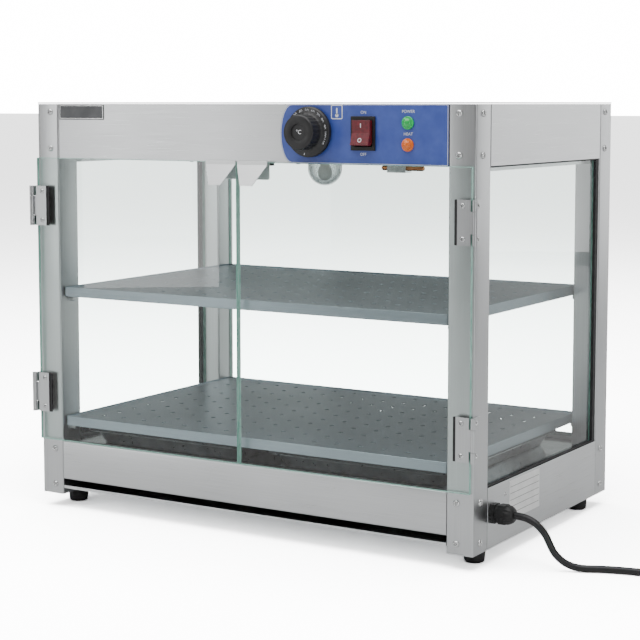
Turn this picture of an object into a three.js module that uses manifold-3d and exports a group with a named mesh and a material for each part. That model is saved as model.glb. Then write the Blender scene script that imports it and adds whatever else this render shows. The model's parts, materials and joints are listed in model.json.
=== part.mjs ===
// Countertop hot food display case: a folded-steel frame on rubber feet, glazed on four sides, with two
// hinged glass doors, two lift-out shelves, two water trays, a heated base and a control header.
// Millimetres, +Z up, the front faces -Y. The origin is on the table, under the middle of the case
// with its knob.
import * as THREE from "three";
import { mergeVertices } from "three/addons/utils/BufferGeometryUtils.js";
import Module from "manifold-3d";

const wasm = await Module();
wasm.setup();

// ---------------------------------------------------------------- driving dimensions
const GAP = 0.3; // between pieces that touch
const SHEET = 1.2; // stainless sheet
const CASE_W = 555;
const CASE_D = 347;
const CASE_H = 450; // from the underside of the posts to the top cover
const FOOT_H = 16;
const POST_X = 30;
const POST_Y = 33;
const HEADER_H = 63;
const BASE_H = 63.3;
const COVER_T = 1.5;
const GLASS_T = 4;
const KNOB_REACH = 25; // from the front plane of the posts to the knob's face
const CORD_R = 3.75;

// ---------------------------------------------------------------- derived places, in the case's frame
const HALF_W = CASE_W / 2;
const HALF_D = CASE_D / 2;
const FRONT = -HALF_D;
const REAR = HALF_D;
const FLOOR = -FOOT_H;
const POST_IN_X = HALF_W - POST_X; // inner face of a post
const POST_IN_Y = HALF_D - POST_Y;
const HEADER_BOTTOM = CASE_H - HEADER_H;
const BODY_TOP = CASE_H - COVER_T - GAP;
const PANEL_HALF_X = POST_IN_X - GAP; // half length of a front or rear panel
const PANEL_HALF_Y = POST_IN_Y - GAP;
const PANEL_SET_BACK = 0.8; // of the front panels behind the posts' faces
const PANEL_FACE = FRONT + PANEL_SET_BACK;
const PANEL_BACK = PANEL_FACE + SHEET;
const CHANNEL_W = 11; // the channel that holds a pane, with its outer sheet
const CHANNEL_WEB_UP = HEADER_BOTTOM + 9;
const CHANNEL_WEB_DOWN = BASE_H - 10.5;
const LIP_DOWN = HEADER_BOTTOM - 6;
const LIP_UP = BASE_H - 3.3;
const PANE_INSET = 5; // outer sheet face to the pane's outer face
const PANE_TOP = CHANNEL_WEB_UP - GAP;
const PANE_BOTTOM = CHANNEL_WEB_DOWN + SHEET + GAP;
const INSIDE_X = HALF_W - CHANNEL_W - SHEET - GAP; // clear half width between the channels' inner lips
const INSIDE_REAR = REAR - CHANNEL_W - SHEET - GAP;
const CEILING_Z = HEADER_BOTTOM + SHEET + GAP;
const DECK_TOP = 57;
const BOTTOM_PLATE_Z = 7;
const CUT = 1; // how far a cutting tool runs past what it cuts

// ---------------------------------------------------------------- materials
const finish = (color, roughness, metalness, opacity = 1) =>
  new THREE.MeshStandardMaterial({ color, roughness, metalness, opacity, transparent: opacity < 1 });
const brushedSteel = () => finish(0xbcbec0, 0.34, 1);
const brightSteel = () => finish(0xd2d4d6, 0.2, 1);
const shelfSteel = () => finish(0xa9b4be, 0.3, 1);
const floatGlass = () => finish(0xd5ebe4, 0.03, 0, 0.25);
const clearGlass = () => finish(0xf2f4f4, 0.05, 0, 0.35);
const warmGlass = () => finish(0xfff0d0, 0.2, 0, 0.8);
const blackRubber = () => finish(0x1b1b1d, 0.75, 0);
const blackPlastic = () => finish(0x232325, 0.42, 0);
const catchPlastic = () => finish(0x4b4c4e, 0.5, 0.3);
const blueFilm = () => finish(0x4055a5, 0.4, 0);
const redPlastic = () => finish(0x8e2030, 0.25, 0, 0.9);
const greenPlastic = () => finish(0x12b050, 0.25, 0);
const amberPlastic = () => finish(0xe0701a, 0.25, 0);
const ceramic = () => finish(0xe6e2d8, 0.6, 0);
const plainMetal = () => finish(0x8d8f92, 0.5, 0.6);
const copper = () => finish(0xb87848, 0.35, 1);
const heatedSheath = () => finish(0x5a5d58, 0.5, 0.9);

// ---------------------------------------------------------------- joining and cutting
const solid = (geometry) => {
  const bare = geometry.index ? geometry.toNonIndexed() : geometry.clone();
  bare.deleteAttribute("normal");
  bare.deleteAttribute("uv");
  const merged = mergeVertices(bare, 1e-4);
  return new wasm.Manifold(
    new wasm.Mesh({
      numProp: 3,
      vertProperties: new Float32Array(merged.attributes.position.array),
      triVerts: new Uint32Array(merged.index.array),
    }),
  );
};

const geometryOf = (manifold) => {
  const mesh = manifold.getMesh();
  const geometry = new THREE.BufferGeometry();
  geometry.setAttribute("position", new THREE.BufferAttribute(mesh.vertProperties, 3));
  geometry.setIndex(new THREE.BufferAttribute(mesh.triVerts, 1));
  return geometry;
};

const join = (first, ...others) =>
  geometryOf(others.reduce((sum, next) => sum.add(solid(next)), solid(first)));
const cut = (first, ...tools) =>
  geometryOf(tools.reduce((left, tool) => left.subtract(solid(tool)), solid(first)));
const common = (first, second) => geometryOf(solid(first).intersect(solid(second)));

// ---------------------------------------------------------------- shapes
// A box between two limits on each axis.
const slab = (x0, x1, y0, y1, z0, z1) =>
  new THREE.BoxGeometry(x1 - x0, y1 - y0, z1 - z0).translate((x0 + x1) / 2, (y0 + y1) / 2, (z0 + z1) / 2);

const outline = (points) => new THREE.Shape(points.map(([u, v]) => new THREE.Vector2(u, v)));
const extrude = (shape, depth, curveSegments = 3) =>
  new THREE.ExtrudeGeometry(shape, { depth, bevelEnabled: false, curveSegments });

const ALONG_X = new THREE.Matrix4().makeBasis(
  new THREE.Vector3(0, 1, 0),
  new THREE.Vector3(0, 0, 1),
  new THREE.Vector3(1, 0, 0),
);
const ALONG_Y = new THREE.Matrix4().makeBasis(
  new THREE.Vector3(1, 0, 0),
  new THREE.Vector3(0, 0, 1),
  new THREE.Vector3(0, -1, 0),
);

// A (y, z) outline carried along X, an (x, z) outline carried along Y, an (x, y) outline carried along Z.
const alongX = (shape, x0, x1) => extrude(shape, x1 - x0).applyMatrix4(ALONG_X).translate(x0, 0, 0);
const alongY = (shape, y0, y1) => extrude(shape, y1 - y0).applyMatrix4(ALONG_Y).translate(0, y1, 0);
const alongZ = (shape, z0, z1) => extrude(shape, z1 - z0).translate(0, 0, z0);

const roundedRectangle = (x0, x1, y0, y1, radius) => {
  const shape = new THREE.Shape();
  shape.absarc(x1 - radius, y0 + radius, radius, -Math.PI / 2, 0);
  shape.absarc(x1 - radius, y1 - radius, radius, 0, Math.PI / 2);
  shape.absarc(x0 + radius, y1 - radius, radius, Math.PI / 2, Math.PI);
  shape.absarc(x0 + radius, y0 + radius, radius, Math.PI, Math.PI * 1.5);
  return shape;
};

// A (radius, height) profile turned about the Z axis; both ends lie on the axis or the profile closes.
const turned = (profile, sides) =>
  new THREE.LatheGeometry(profile.map(([r, h]) => new THREE.Vector2(r, h)), sides).rotateX(Math.PI / 2);
const rod = (radius, z0, z1, sides = 12) => turned([[0, z0], [radius, z0], [radius, z1], [0, z1]], sides);

// The same shape for the left side: mirrored in X, with every face wound back to point outwards.
const mirrored = (geometry) => {
  const copy = mergeVertices(geometry);
  copy.scale(-1, 1, 1);
  copy.index.array.reverse();
  return copy;
};

// ---------------------------------------------------------------- scene graph
const TO_FRONT = new THREE.Euler(Math.PI / 2, 0, 0); // turns +Z to -Y and +Y to +Z
const TO_RIGHT = new THREE.Euler(0, Math.PI / 2, 0); // turns +Z to +X
const TO_REAR = new THREE.Euler(-Math.PI / 2, 0, 0); // turns +Z to +Y

const piece = (name, geometry, material, position = [0, 0, 0], turn = new THREE.Euler()) => {
  const mesh = new THREE.Mesh(geometry, material);
  mesh.name = name;
  mesh.position.set(...position);
  mesh.rotation.copy(turn);
  return mesh;
};

const groupAt = (position, meshes, turn = new THREE.Euler()) => {
  const group = new THREE.Group();
  group.position.set(...position);
  group.rotation.copy(turn);
  group.add(...meshes);
  return group;
};

const SIDES = [["left", -1], ["right", 1]];
const ENDS = [["front", -1], ["rear", 1]];
const handed = (geometry, sx) => (sx > 0 ? geometry : mirrored(geometry));

// ---------------------------------------------------------------- shelves
const SHELF_H = 11;
const SHELF_TOPS = { upper: 240.3, lower: 91.3 };
const SHELF_HALF_X = POST_IN_X - 2;
const SHELF_FRONT = FRONT + 4.5;
const SHELF_REAR = INSIDE_REAR - 1;
const SHELF_RECESS = 1.6; // plate surface below the rim's top
const SHELF_T = 1;

// A plate with a folded rim, its rim's top at Z = 0.
const shelf = () => {
  const [x1, y0, y1] = [SHELF_HALF_X - SHELF_T, SHELF_FRONT + SHELF_T, SHELF_REAR - SHELF_T];
  const plateBottom = -SHELF_RECESS - SHELF_T;
  const above = slab(-x1, x1, y0, y1, -SHELF_RECESS, CUT);
  const below = slab(-x1, x1, y0, y1, -SHELF_H - CUT, plateBottom);
  return cut(slab(-SHELF_HALF_X, SHELF_HALF_X, SHELF_FRONT, SHELF_REAR, -SHELF_H, 0), above, below);
};

const shelves = () =>
  Object.entries(SHELF_TOPS).map(([level, top]) =>
    piece(`${level}_shelf`, shelf(), shelfSteel(), [0, 0, top]),
  );

// ---------------------------------------------------------------- posts
const PEG_R = 3;
const PEG_REACH = 7; // past the post's inner face
const PEG_ROOT = 0.5; // how far the peg enters the post's wall
const PEG_SIDES = 10;

// A square tube about its own axis, for the right side, with a peg under each shelf on its inner face.
const rightPost = () => {
  const [x, y] = [POST_X / 2, POST_Y / 2];
  const bore = slab(-x + SHEET, x - SHEET, -y + SHEET, y - SHEET, -CUT, BODY_TOP + CUT);
  const pegs = Object.values(SHELF_TOPS).map((top) =>
    rod(PEG_R, 0, PEG_REACH + PEG_ROOT, PEG_SIDES)
      .rotateY(Math.PI / 2)
      .translate(-x - PEG_REACH, 0, top - SHELF_H - PEG_R - GAP),
  );
  return join(cut(slab(-x, x, -y, y, 0, BODY_TOP), bore), ...pegs);
};

const posts = () =>
  ENDS.flatMap(([end, sy]) =>
    SIDES.map(([side, sx]) =>
      piece(`${end}_${side}_post`, handed(rightPost(), sx), brushedSteel(), [
        sx * (HALF_W - POST_X / 2),
        sy * (HALF_D - POST_Y / 2),
        0,
      ]),
    ),
  );

// ---------------------------------------------------------------- control places
// The controls' own frame lies in the front plane: x to the right, y up and z out towards the user.
const controlsAt = [0, FRONT, 0];
const KNOB_AT = [88.4, 419.5];
const SWITCH_AT = [151.3, 418.5];
const LAMPS_AT = { power: [202.2, 429.4], heat: [202.2, 407.5] };
const SHAFT_R = 3.1;
const SHAFT_CLEAR = 1.5;
const LENS_STEM_R = 4;
const SWITCH_BODY = [24, 27]; // width and height behind the panel
const HOLE_FRONT = 2;
const HOLE_BACK = -6;

// A block about a point in the control frame.
const blockAt = ([x, y], w, h, z0, z1) => slab(x - w / 2, x + w / 2, y - h / 2, y + h / 2, z0, z1);

// The holes that the control parts pass through, in the control frame.
const controlHoles = () => [
  rod(SHAFT_R + SHAFT_CLEAR, HOLE_BACK, HOLE_FRONT).translate(...KNOB_AT, 0),
  ...Object.values(LAMPS_AT).map((at) => rod(LENS_STEM_R + GAP, HOLE_BACK, HOLE_FRONT).translate(...at, 0)),
  blockAt(SWITCH_AT, SWITCH_BODY[0] + 2 * GAP, SWITCH_BODY[1] + 2 * GAP, HOLE_BACK, HOLE_FRONT),
];

// ---------------------------------------------------------------- panels
const CATCH_DEPTH = 14; // the header's folded underside, which carries the door catch
const FOLD = 9; // the base front's returns
const SLOT_TOP = 17.5; // the air slot under the base front
const SLOT_BOTTOM = 10.5;
const BASE_FRONT_TOP = 62.8;
const GLAND_Y = -128.5;
const GLAND_Z = 36;
const GLAND_THREAD_R = 8;
const LAMP_NECK_R = 15;

// An outline that fills the plan between the posts: wide between them, narrow beside them.
const planOutline = (wide, narrow, frontY, rearY, shoulder) =>
  outline([
    [-narrow, frontY],
    [narrow, frontY],
    [narrow, -shoulder],
    [wide, -shoulder],
    [wide, shoulder],
    [narrow, shoulder],
    [narrow, rearY],
    [-narrow, rearY],
    [-narrow, shoulder],
    [-wide, shoulder],
    [-wide, -shoulder],
    [-narrow, -shoulder],
  ]);

// The sections of the panels that hold a pane: outer sheet, web and inner lip. The first number of each
// point is the distance in from the outer face, the second the height.
const headerChannel = () =>
  outline([
    [0, HEADER_BOTTOM],
    [SHEET, HEADER_BOTTOM],
    [SHEET, CHANNEL_WEB_UP],
    [CHANNEL_W, CHANNEL_WEB_UP],
    [CHANNEL_W, LIP_DOWN],
    [CHANNEL_W + SHEET, LIP_DOWN],
    [CHANNEL_W + SHEET, CHANNEL_WEB_UP + SHEET],
    [SHEET, CHANNEL_WEB_UP + SHEET],
    [SHEET, BODY_TOP],
    [0, BODY_TOP],
  ]);
const baseChannel = () =>
  outline([
    [0, 0],
    [SHEET, 0],
    [SHEET, CHANNEL_WEB_DOWN],
    [CHANNEL_W + SHEET, CHANNEL_WEB_DOWN],
    [CHANNEL_W + SHEET, LIP_UP],
    [CHANNEL_W, LIP_UP],
    [CHANNEL_W, CHANNEL_WEB_DOWN + SHEET],
    [SHEET, CHANNEL_WEB_DOWN + SHEET],
    [SHEET, BASE_H],
    [0, BASE_H],
  ]);

// A channel section carried along the left side or along the rear, its outer face at the origin.
const leftChannel = (section) => alongY(section, -PANEL_HALF_Y, PANEL_HALF_Y);
const rearChannel = (section) => alongY(section, -PANEL_HALF_X, PANEL_HALF_X).rotateZ(-Math.PI / 2);

const headerPanels = () => {
  const front = outline([
    [PANEL_FACE, HEADER_BOTTOM],
    [PANEL_FACE + CATCH_DEPTH, HEADER_BOTTOM],
    [PANEL_FACE + CATCH_DEPTH, HEADER_BOTTOM + SHEET],
    [PANEL_BACK, HEADER_BOTTOM + SHEET],
    [PANEL_BACK, BODY_TOP],
    [PANEL_FACE, BODY_TOP],
  ]);
  const holes = controlHoles().map((hole) => hole.rotateX(Math.PI / 2).translate(...controlsAt));
  const left = leftChannel(headerChannel());
  return [
    piece("header_front_panel", cut(alongX(front, -PANEL_HALF_X, PANEL_HALF_X), ...holes), brushedSteel()),
    piece("header_left_panel", left, brushedSteel(), [-HALF_W, 0, 0]),
    piece("header_right_panel", mirrored(left), brushedSteel(), [HALF_W, 0, 0]),
    piece("header_rear_panel", rearChannel(headerChannel()), brushedSteel(), [0, REAR, 0]),
  ];
};

const basePanels = () => {
  const front = outline([
    [PANEL_FACE, SLOT_TOP],
    [PANEL_FACE + FOLD, SLOT_TOP],
    [PANEL_FACE + FOLD, SLOT_TOP + SHEET],
    [PANEL_BACK, SLOT_TOP + SHEET],
    [PANEL_BACK, BASE_FRONT_TOP - SHEET],
    [PANEL_FACE + FOLD, BASE_FRONT_TOP - SHEET],
    [PANEL_FACE + FOLD, BASE_FRONT_TOP],
    [PANEL_FACE, BASE_FRONT_TOP],
  ]);
  const left = leftChannel(baseChannel());
  const glandHole = rod(GLAND_THREAD_R + GAP, -SHEET - CUT, CUT)
    .rotateY(Math.PI / 2)
    .translate(0, GLAND_Y, GLAND_Z);
  return [
    piece("base_front_panel", alongX(front, -PANEL_HALF_X, PANEL_HALF_X), brushedSteel()),
    piece("base_left_panel", left, brushedSteel(), [-HALF_W, 0, 0]),
    piece("base_right_panel", cut(mirrored(left), glandHole), brushedSteel(), [HALF_W, 0, 0]),
    piece("base_rear_panel", rearChannel(baseChannel()), brushedSteel(), [0, REAR, 0]),
  ];
};

const plates = () => {
  const inside = () => planOutline(INSIDE_X, PANEL_HALF_X, PANEL_BACK + GAP, INSIDE_REAR, PANEL_HALF_Y);
  const holderHole = rod(LAMP_NECK_R + GAP, -CUT, SHEET + CUT, 16);
  const skirtX = HALF_W - SHEET - GAP;
  const skirtRear = REAR - SHEET - GAP;
  const bottom = planOutline(skirtX, PANEL_HALF_X, PANEL_FACE, skirtRear, PANEL_HALF_Y);
  const lipH = SLOT_BOTTOM - BOTTOM_PLATE_Z;
  const frontLip = slab(-PANEL_HALF_X, PANEL_HALF_X, PANEL_FACE, PANEL_BACK, 0, lipH);
  const coverZ = CASE_H - COVER_T;
  return [
    piece("top_cover", slab(-HALF_W, HALF_W, FRONT, REAR, 0, COVER_T), brushedSteel(), [0, 0, coverZ]),
    piece("ceiling_panel", cut(alongZ(inside(), 0, SHEET), holderHole), brightSteel(), [0, 0, CEILING_Z]),
    piece("deck_plate", alongZ(inside(), -SHEET, 0), brightSteel(), [0, 0, DECK_TOP]),
    piece("bottom_plate", join(alongZ(bottom, 0, SHEET), frontLip), brushedSteel(), [0, 0, BOTTOM_PLATE_Z]),
  ];
};

// ---------------------------------------------------------------- fixed glass and its seals
const SEAL_W = 6.5; // at the rear upright
const SEAL_PROUD = 1.7; // how far the seal shows past the header's and the base's edges

const panes = () => {
  const pane = slab(-GLASS_T, 0, -PANEL_HALF_Y, PANEL_HALF_Y, PANE_BOTTOM, PANE_TOP);
  const sealT = PANE_INSET - SHEET - 2 * GAP;
  const [y0, y1] = [-PANEL_HALF_Y, PANEL_HALF_Y];
  const [z0, z1] = [BASE_H + SEAL_PROUD, HEADER_BOTTOM - SEAL_PROUD];
  const window = slab(-CUT, sealT + CUT, y0 - CUT, y1 - SEAL_W, z0, z1);
  const seal = cut(slab(0, sealT, y0, y1, PANE_BOTTOM, PANE_TOP), window);
  const outer = HALF_W - PANE_INSET;
  const sides = SIDES.flatMap(([side, sx]) => [
    piece(`${side}_glass`, handed(pane, sx), floatGlass(), [sx * outer, 0, 0]),
    piece(`${side}_glass_seal`, handed(seal, sx), blackRubber(), [sx * (outer + GAP), 0, 0]),
  ]);
  const rear = slab(-PANEL_HALF_X, PANEL_HALF_X, -GLASS_T, 0, PANE_BOTTOM, PANE_TOP);
  return [...sides, piece("rear_glass", rear, floatGlass(), [0, REAR - PANE_INSET, 0])];
};

// ---------------------------------------------------------------- feet
const FOOT_X = 259;
const FOOT_Y = 132.5;
const FOOT_R = 12;
const FOOT_TREAD_R = 9.3;
const FOOT_STUD_R = 7;

// A tapered pad under the posts, with a stud that reaches up to the bottom plate.
const foot = () => {
  const pad = FOOT_H - GAP;
  const stud = FOOT_H + BOTTOM_PLATE_Z - GAP;
  const chamfer = 1.5;
  return turned(
    [
      [0, 0],
      [FOOT_TREAD_R, 0],
      [FOOT_TREAD_R + chamfer, chamfer],
      [FOOT_R, pad],
      [FOOT_STUD_R, pad],
      [FOOT_STUD_R, stud],
      [0, stud],
    ],
    16,
  );
};

const feet = () =>
  ENDS.flatMap(([end, sy]) =>
    SIDES.map(([side, sx]) =>
      piece(`${end}_${side}_foot`, foot(), blackRubber(), [sx * FOOT_X, sy * FOOT_Y, FLOOR]),
    ),
  );

// ---------------------------------------------------------------- controls, in the control frame
const OVERLAY_LEFT = 51.6;
const OVERLAY_T = 0.5;
const OVERLAY_MARGIN = 0.2; // to the header's upper and lower edges
const OVERLAY_END = 14; // length of its rounded left end
const OVERLAY_BACK = -PANEL_SET_BACK + GAP;
const OVERLAY_FACE = OVERLAY_BACK + OVERLAY_T;
const KNOB_BACK = 1.3;
const KNOB_SKIRT_R = 26;
const KNOB_CAP_R = 17.8;
const BODY_Z = -PANEL_SET_BACK - SHEET - GAP; // front of what is screwed behind the panel
const THERMOSTAT = [38, 40, 34]; // width, height and depth
const SHAFT_END = 11;
const BEZEL = [28, 34.5];
const BEZEL_T = 2.2;
const SWITCH_DEPTH = 26;
const ROCKER = [21, 25.4];
const ROCKER_CLEAR = [1.2, 0.8]; // in all, across the width and the height
const ROCKER_PIVOT_IN = 1; // behind the bezel's face
const ROCKER_POCKET = 9;
const ROCKER_TILT = THREE.MathUtils.degToRad(8);

const overlay = () => {
  const low = HEADER_BOTTOM + OVERLAY_MARGIN;
  const high = BODY_TOP - OVERLAY_MARGIN;
  const endX = OVERLAY_LEFT + OVERLAY_END;
  const film = new THREE.Shape();
  film.moveTo(PANEL_HALF_X, low);
  film.lineTo(PANEL_HALF_X, high);
  film.lineTo(endX, high);
  film.absellipse(endX, (low + high) / 2, OVERLAY_END, (high - low) / 2, Math.PI / 2, Math.PI * 1.5);
  return cut(extrude(film, OVERLAY_T, 12).translate(0, 0, OVERLAY_BACK), ...controlHoles());
};

const thermostat = () =>
  join(
    blockAt([0, 0], THERMOSTAT[0], THERMOSTAT[1], BODY_Z - THERMOSTAT[2], BODY_Z),
    rod(SHAFT_R, BODY_Z - CUT, SHAFT_END),
  );

// A wide skirt that carries the scale, and a cap with a recess in its face; the shaft's bore is behind.
const knob = () => {
  const face = KNOB_REACH - KNOB_BACK;
  return turned(
    [
      [0, 10.5],
      [SHAFT_R + GAP, 10.5],
      [SHAFT_R + GAP, 0],
      [KNOB_SKIRT_R - 1.5, 0],
      [KNOB_SKIRT_R, 1.5],
      [KNOB_SKIRT_R, 4],
      [KNOB_SKIRT_R - 1.2, 5.5],
      [KNOB_CAP_R + 1, 7],
      [KNOB_CAP_R, face - 1.8],
      [KNOB_CAP_R - 1.6, face],
      [9, face],
      [8.4, face - 1.2],
      [0, face - 1.2],
    ],
    24,
  );
};

// A bezel in front of the panel and a body through it, with the pocket that the rocker tilts in.
const switchHousing = () => {
  const face = BEZEL_T;
  const pocket = blockAt(
    [0, 0],
    ROCKER[0] + ROCKER_CLEAR[0],
    ROCKER[1] + ROCKER_CLEAR[1],
    -ROCKER_POCKET,
    face + CUT,
  );
  return cut(
    join(blockAt([0, 0], ...BEZEL, 0, face), blockAt([0, 0], ...SWITCH_BODY, -SWITCH_DEPTH, CUT)),
    pocket,
  );
};

// The paddle about its pivot. The first number of each point runs back from the pivot, the second up.
const rocker = () => {
  const half = ROCKER[1] / 2;
  const section = outline([
    [-6.9, -half],
    [-1, -half],
    [5, -6],
    [5, 6],
    [-1, half],
    [-6.9, half],
    [-4.6, 0],
  ]);
  return alongX(section, -ROCKER[0] / 2, ROCKER[0] / 2).rotateX(-Math.PI / 2);
};

// A flanged, domed lens with a stem through the panel.
const lens = () =>
  turned(
    [
      [0, -9],
      [LENS_STEM_R, -9],
      [LENS_STEM_R, 0],
      [6.6, 0],
      [6.6, 1.6],
      [5.4, 2.2],
      [4.6, 4.2],
      [2.6, 5.4],
      [0, 5.8],
    ],
    16,
  );

const controls = () => {
  const onFilm = OVERLAY_FACE + GAP;
  const pivotZ = onFilm + BEZEL_T - ROCKER_PIVOT_IN;
  const tilt = new THREE.Euler(-ROCKER_TILT, 0, 0);
  return groupAt(
    controlsAt,
    [
      piece("control_overlay", overlay(), blueFilm()),
      piece("thermostat_body", thermostat(), plainMetal(), [...KNOB_AT, 0]),
      piece("thermostat_knob", knob(), blackPlastic(), [...KNOB_AT, KNOB_BACK]),
      piece("switch_housing", switchHousing(), blackPlastic(), [...SWITCH_AT, onFilm]),
      piece("switch_rocker", rocker(), redPlastic(), [...SWITCH_AT, pivotZ], tilt),
      piece("power_lens", lens(), greenPlastic(), [...LAMPS_AT.power, onFilm]),
      piece("heat_lens", lens(), amberPlastic(), [...LAMPS_AT.heat, onFilm]),
    ],
    TO_FRONT,
  );
};

// ---------------------------------------------------------------- ceiling lamp, hung from Z = 0
const COLLAR_T = 4;
const COLLAR_R = 23;
const NECK_UP = 14;
const COVER_R = 19.5;
const COVER_WALL = 1.6;
const COVER_DROP = 32.7;

const lampHolder = () =>
  turned(
    [
      [0, -COLLAR_T],
      [COLLAR_R, -COLLAR_T],
      [COLLAR_R, 0],
      [LAMP_NECK_R, 0],
      [LAMP_NECK_R, NECK_UP],
      [0, NECK_UP],
    ],
    20,
  );

// A round-ended glass cup, open at its rim.
const lampCover = (rim) => {
  const steps = 5;
  const arc = (radius) =>
    Array.from({ length: steps + 1 }, (_, i) => {
      const angle = (i / steps) * (Math.PI / 2);
      return [radius * Math.sin(angle), -COVER_DROP + COVER_R - radius * Math.cos(angle)];
    });
  const inner = COVER_R - COVER_WALL;
  return turned([...arc(COVER_R), [COVER_R, rim], [inner, rim], ...arc(inner).reverse()], 20);
};

const lampBulb = (rim) =>
  turned(
    [
      [0, rim - 23],
      [5, rim - 21.5],
      [8, rim - 16.5],
      [8, rim - 11],
      [5.5, rim - 6],
      [5.5, rim],
      [0, rim],
    ],
    14,
  );

const lamp = () => {
  const rim = -COLLAR_T - GAP;
  return groupAt([0, 0, CEILING_Z - GAP], [
    piece("lamp_holder", lampHolder(), ceramic()),
    piece("lamp_cover", lampCover(rim), clearGlass()),
    piece("lamp_bulb", lampBulb(rim), warmGlass()),
  ]);
};

// ---------------------------------------------------------------- thermostat probe and its bracket
const PROBE_X = [75, 128];
const PROBE_Z = 377;
const PROBE_R = 3;
const PROBE_SIDES = 10;
const BRACKET = { x0: 85, x1: 108.5, halfY: 7, bottom: 372 };
const BRACKET_FLANGE = { x0: 76, x1: 127, thickness: 2 };

const probe = () => {
  const length = PROBE_X[1] - PROBE_X[0];
  const top = CEILING_Z - GAP;
  const { x0, x1, halfY, bottom } = BRACKET;
  const flange = BRACKET_FLANGE;
  const block = slab(x0, x1, -halfY, halfY, bottom, top);
  const plate = slab(flange.x0, flange.x1, -halfY, halfY, top - flange.thickness, top);
  const bore = rod(PROBE_R + GAP, x0 - CUT, x1 + CUT, PROBE_SIDES)
    .rotateY(Math.PI / 2)
    .translate(0, 0, PROBE_Z);
  const probeAt = [PROBE_X[0], 0, PROBE_Z];
  return [
    piece("thermostat_probe", rod(PROBE_R, 0, length, PROBE_SIDES), copper(), probeAt, TO_RIGHT),
    piece("probe_bracket", cut(join(block, plate), bore), brightSteel()),
  ];
};

// ---------------------------------------------------------------- heating element in the base
const ELEMENT_Z = 32;
const ELEMENT_R = 4;
const ELEMENT_END_X = 236;
const TERMINAL = { length: 20, halfY: 50, top: 42 };

// A sheathed loop lying flat under the deck, its two ends in a block at the right.
const heater = () => {
  const bend = [
    [150, -38],
    [-120, -38],
    [-185, -36],
    [-212, -20],
    [-220, 0],
    [-212, 20],
    [-185, 36],
    [-120, 38],
    [150, 38],
  ];
  const loop = [[ELEMENT_END_X, -38], ...bend, [ELEMENT_END_X, 38]];
  const extrudePath = new THREE.CatmullRomCurve3(
    loop.map(([x, y]) => new THREE.Vector3(x, y, 0)),
    false,
    "centripetal",
  );
  const section = new THREE.Shape().absarc(0, 0, ELEMENT_R, 0, Math.PI * 2);
  const sheath = new THREE.ExtrudeGeometry(section, { steps: 36, curveSegments: 4, extrudePath });
  const { length, halfY, top } = TERMINAL;
  const x0 = ELEMENT_END_X + GAP;
  const blockBottom = BOTTOM_PLATE_Z + SHEET + GAP;
  const block = slab(x0, ELEMENT_END_X + length, -halfY, halfY, blockBottom, top);
  return [
    piece("heating_element", sheath, heatedSheath(), [0, 0, ELEMENT_Z]),
    piece("terminal_block", block, ceramic()),
  ];
};

// ---------------------------------------------------------------- doors
const DOOR_FRONT = FRONT - 5.2; // outer face of the door glass
const DOOR_BACK = DOOR_FRONT + GLASS_T;
const DOOR_EDGE = 275.5; // outer upright edge
const DOOR_MEET = 1; // half of the gap where the doors meet
const DOOR_TOP = HEADER_BOTTOM + 0.2;
const DOOR_BOTTOM = BASE_H + 0.5;

// Hinges: everything about the pin axis, for the right side.
const HINGE_X = 280.8;
const HINGE_Y = -182;
const HINGE_H = 45;
const HINGE_ZS = { upper: 333, lower: 118.5 };
const KNUCKLE_H = 22; // the door leaf's knuckle, between the post leaf's two
const BARREL_R = 2.5;
const PIN_R = 1.1;
const LEAF_W = 14.7;
const LEAF_REACH = 9.2; // of the post leaf behind the post's front face

// The leaf screwed to the side of a post, with its two knuckles and the pin fixed in them.
const postLeaf = () => {
  const half = HINGE_H / 2;
  const slot = KNUCKLE_H / 2 + GAP;
  const x0 = HALF_W + GAP - HINGE_X;
  const leaf = slab(x0, x0 + SHEET, 0.5, FRONT + LEAF_REACH - HINGE_Y, -half, half);
  const knuckleRoom = slab(x0 - CUT, x0 + SHEET + CUT, -CUT, 4.5, -slot, slot);
  return join(
    cut(leaf, knuckleRoom),
    rod(BARREL_R, -half, -slot),
    rod(BARREL_R, slot, half),
    rod(PIN_R, -half + 1, half - 1),
  );
};

// The leaf screwed to the door glass, with the middle knuckle, bored for the pin.
const doorLeaf = () => {
  const edge = DOOR_EDGE - HINGE_X;
  const half = HINGE_H / 2;
  const knuckle = KNUCKLE_H / 2;
  const y0 = BARREL_R - SHEET;
  const plate = slab(edge - LEAF_W, edge, y0, BARREL_R, -half, half);
  const arm = slab(edge - CUT, 0, y0, BARREL_R, -knuckle, knuckle);
  const bore = rod(PIN_R + GAP, -knuckle - CUT, knuckle + CUT);
  return cut(join(plate, arm, rod(BARREL_R, -knuckle, knuckle)), bore);
};

// A bent clip over the top edge of the door, about its own middle: a tapered flap that stands forward
// to be pulled, and a steel leg behind the glass that the magnetic catch holds.
const PULL_W = 38;
const PULL_TIP_W = 14.4;
const PULL_TIP_Z = 363;
const PULL_T = 1;
const PULL_FORWARD = 12;
const PULL_BEND = 4; // below its top
const LEG_W = 17.5;
const LEG_BOTTOM = 369;
const LEG_CORNER = 2.5;

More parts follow.
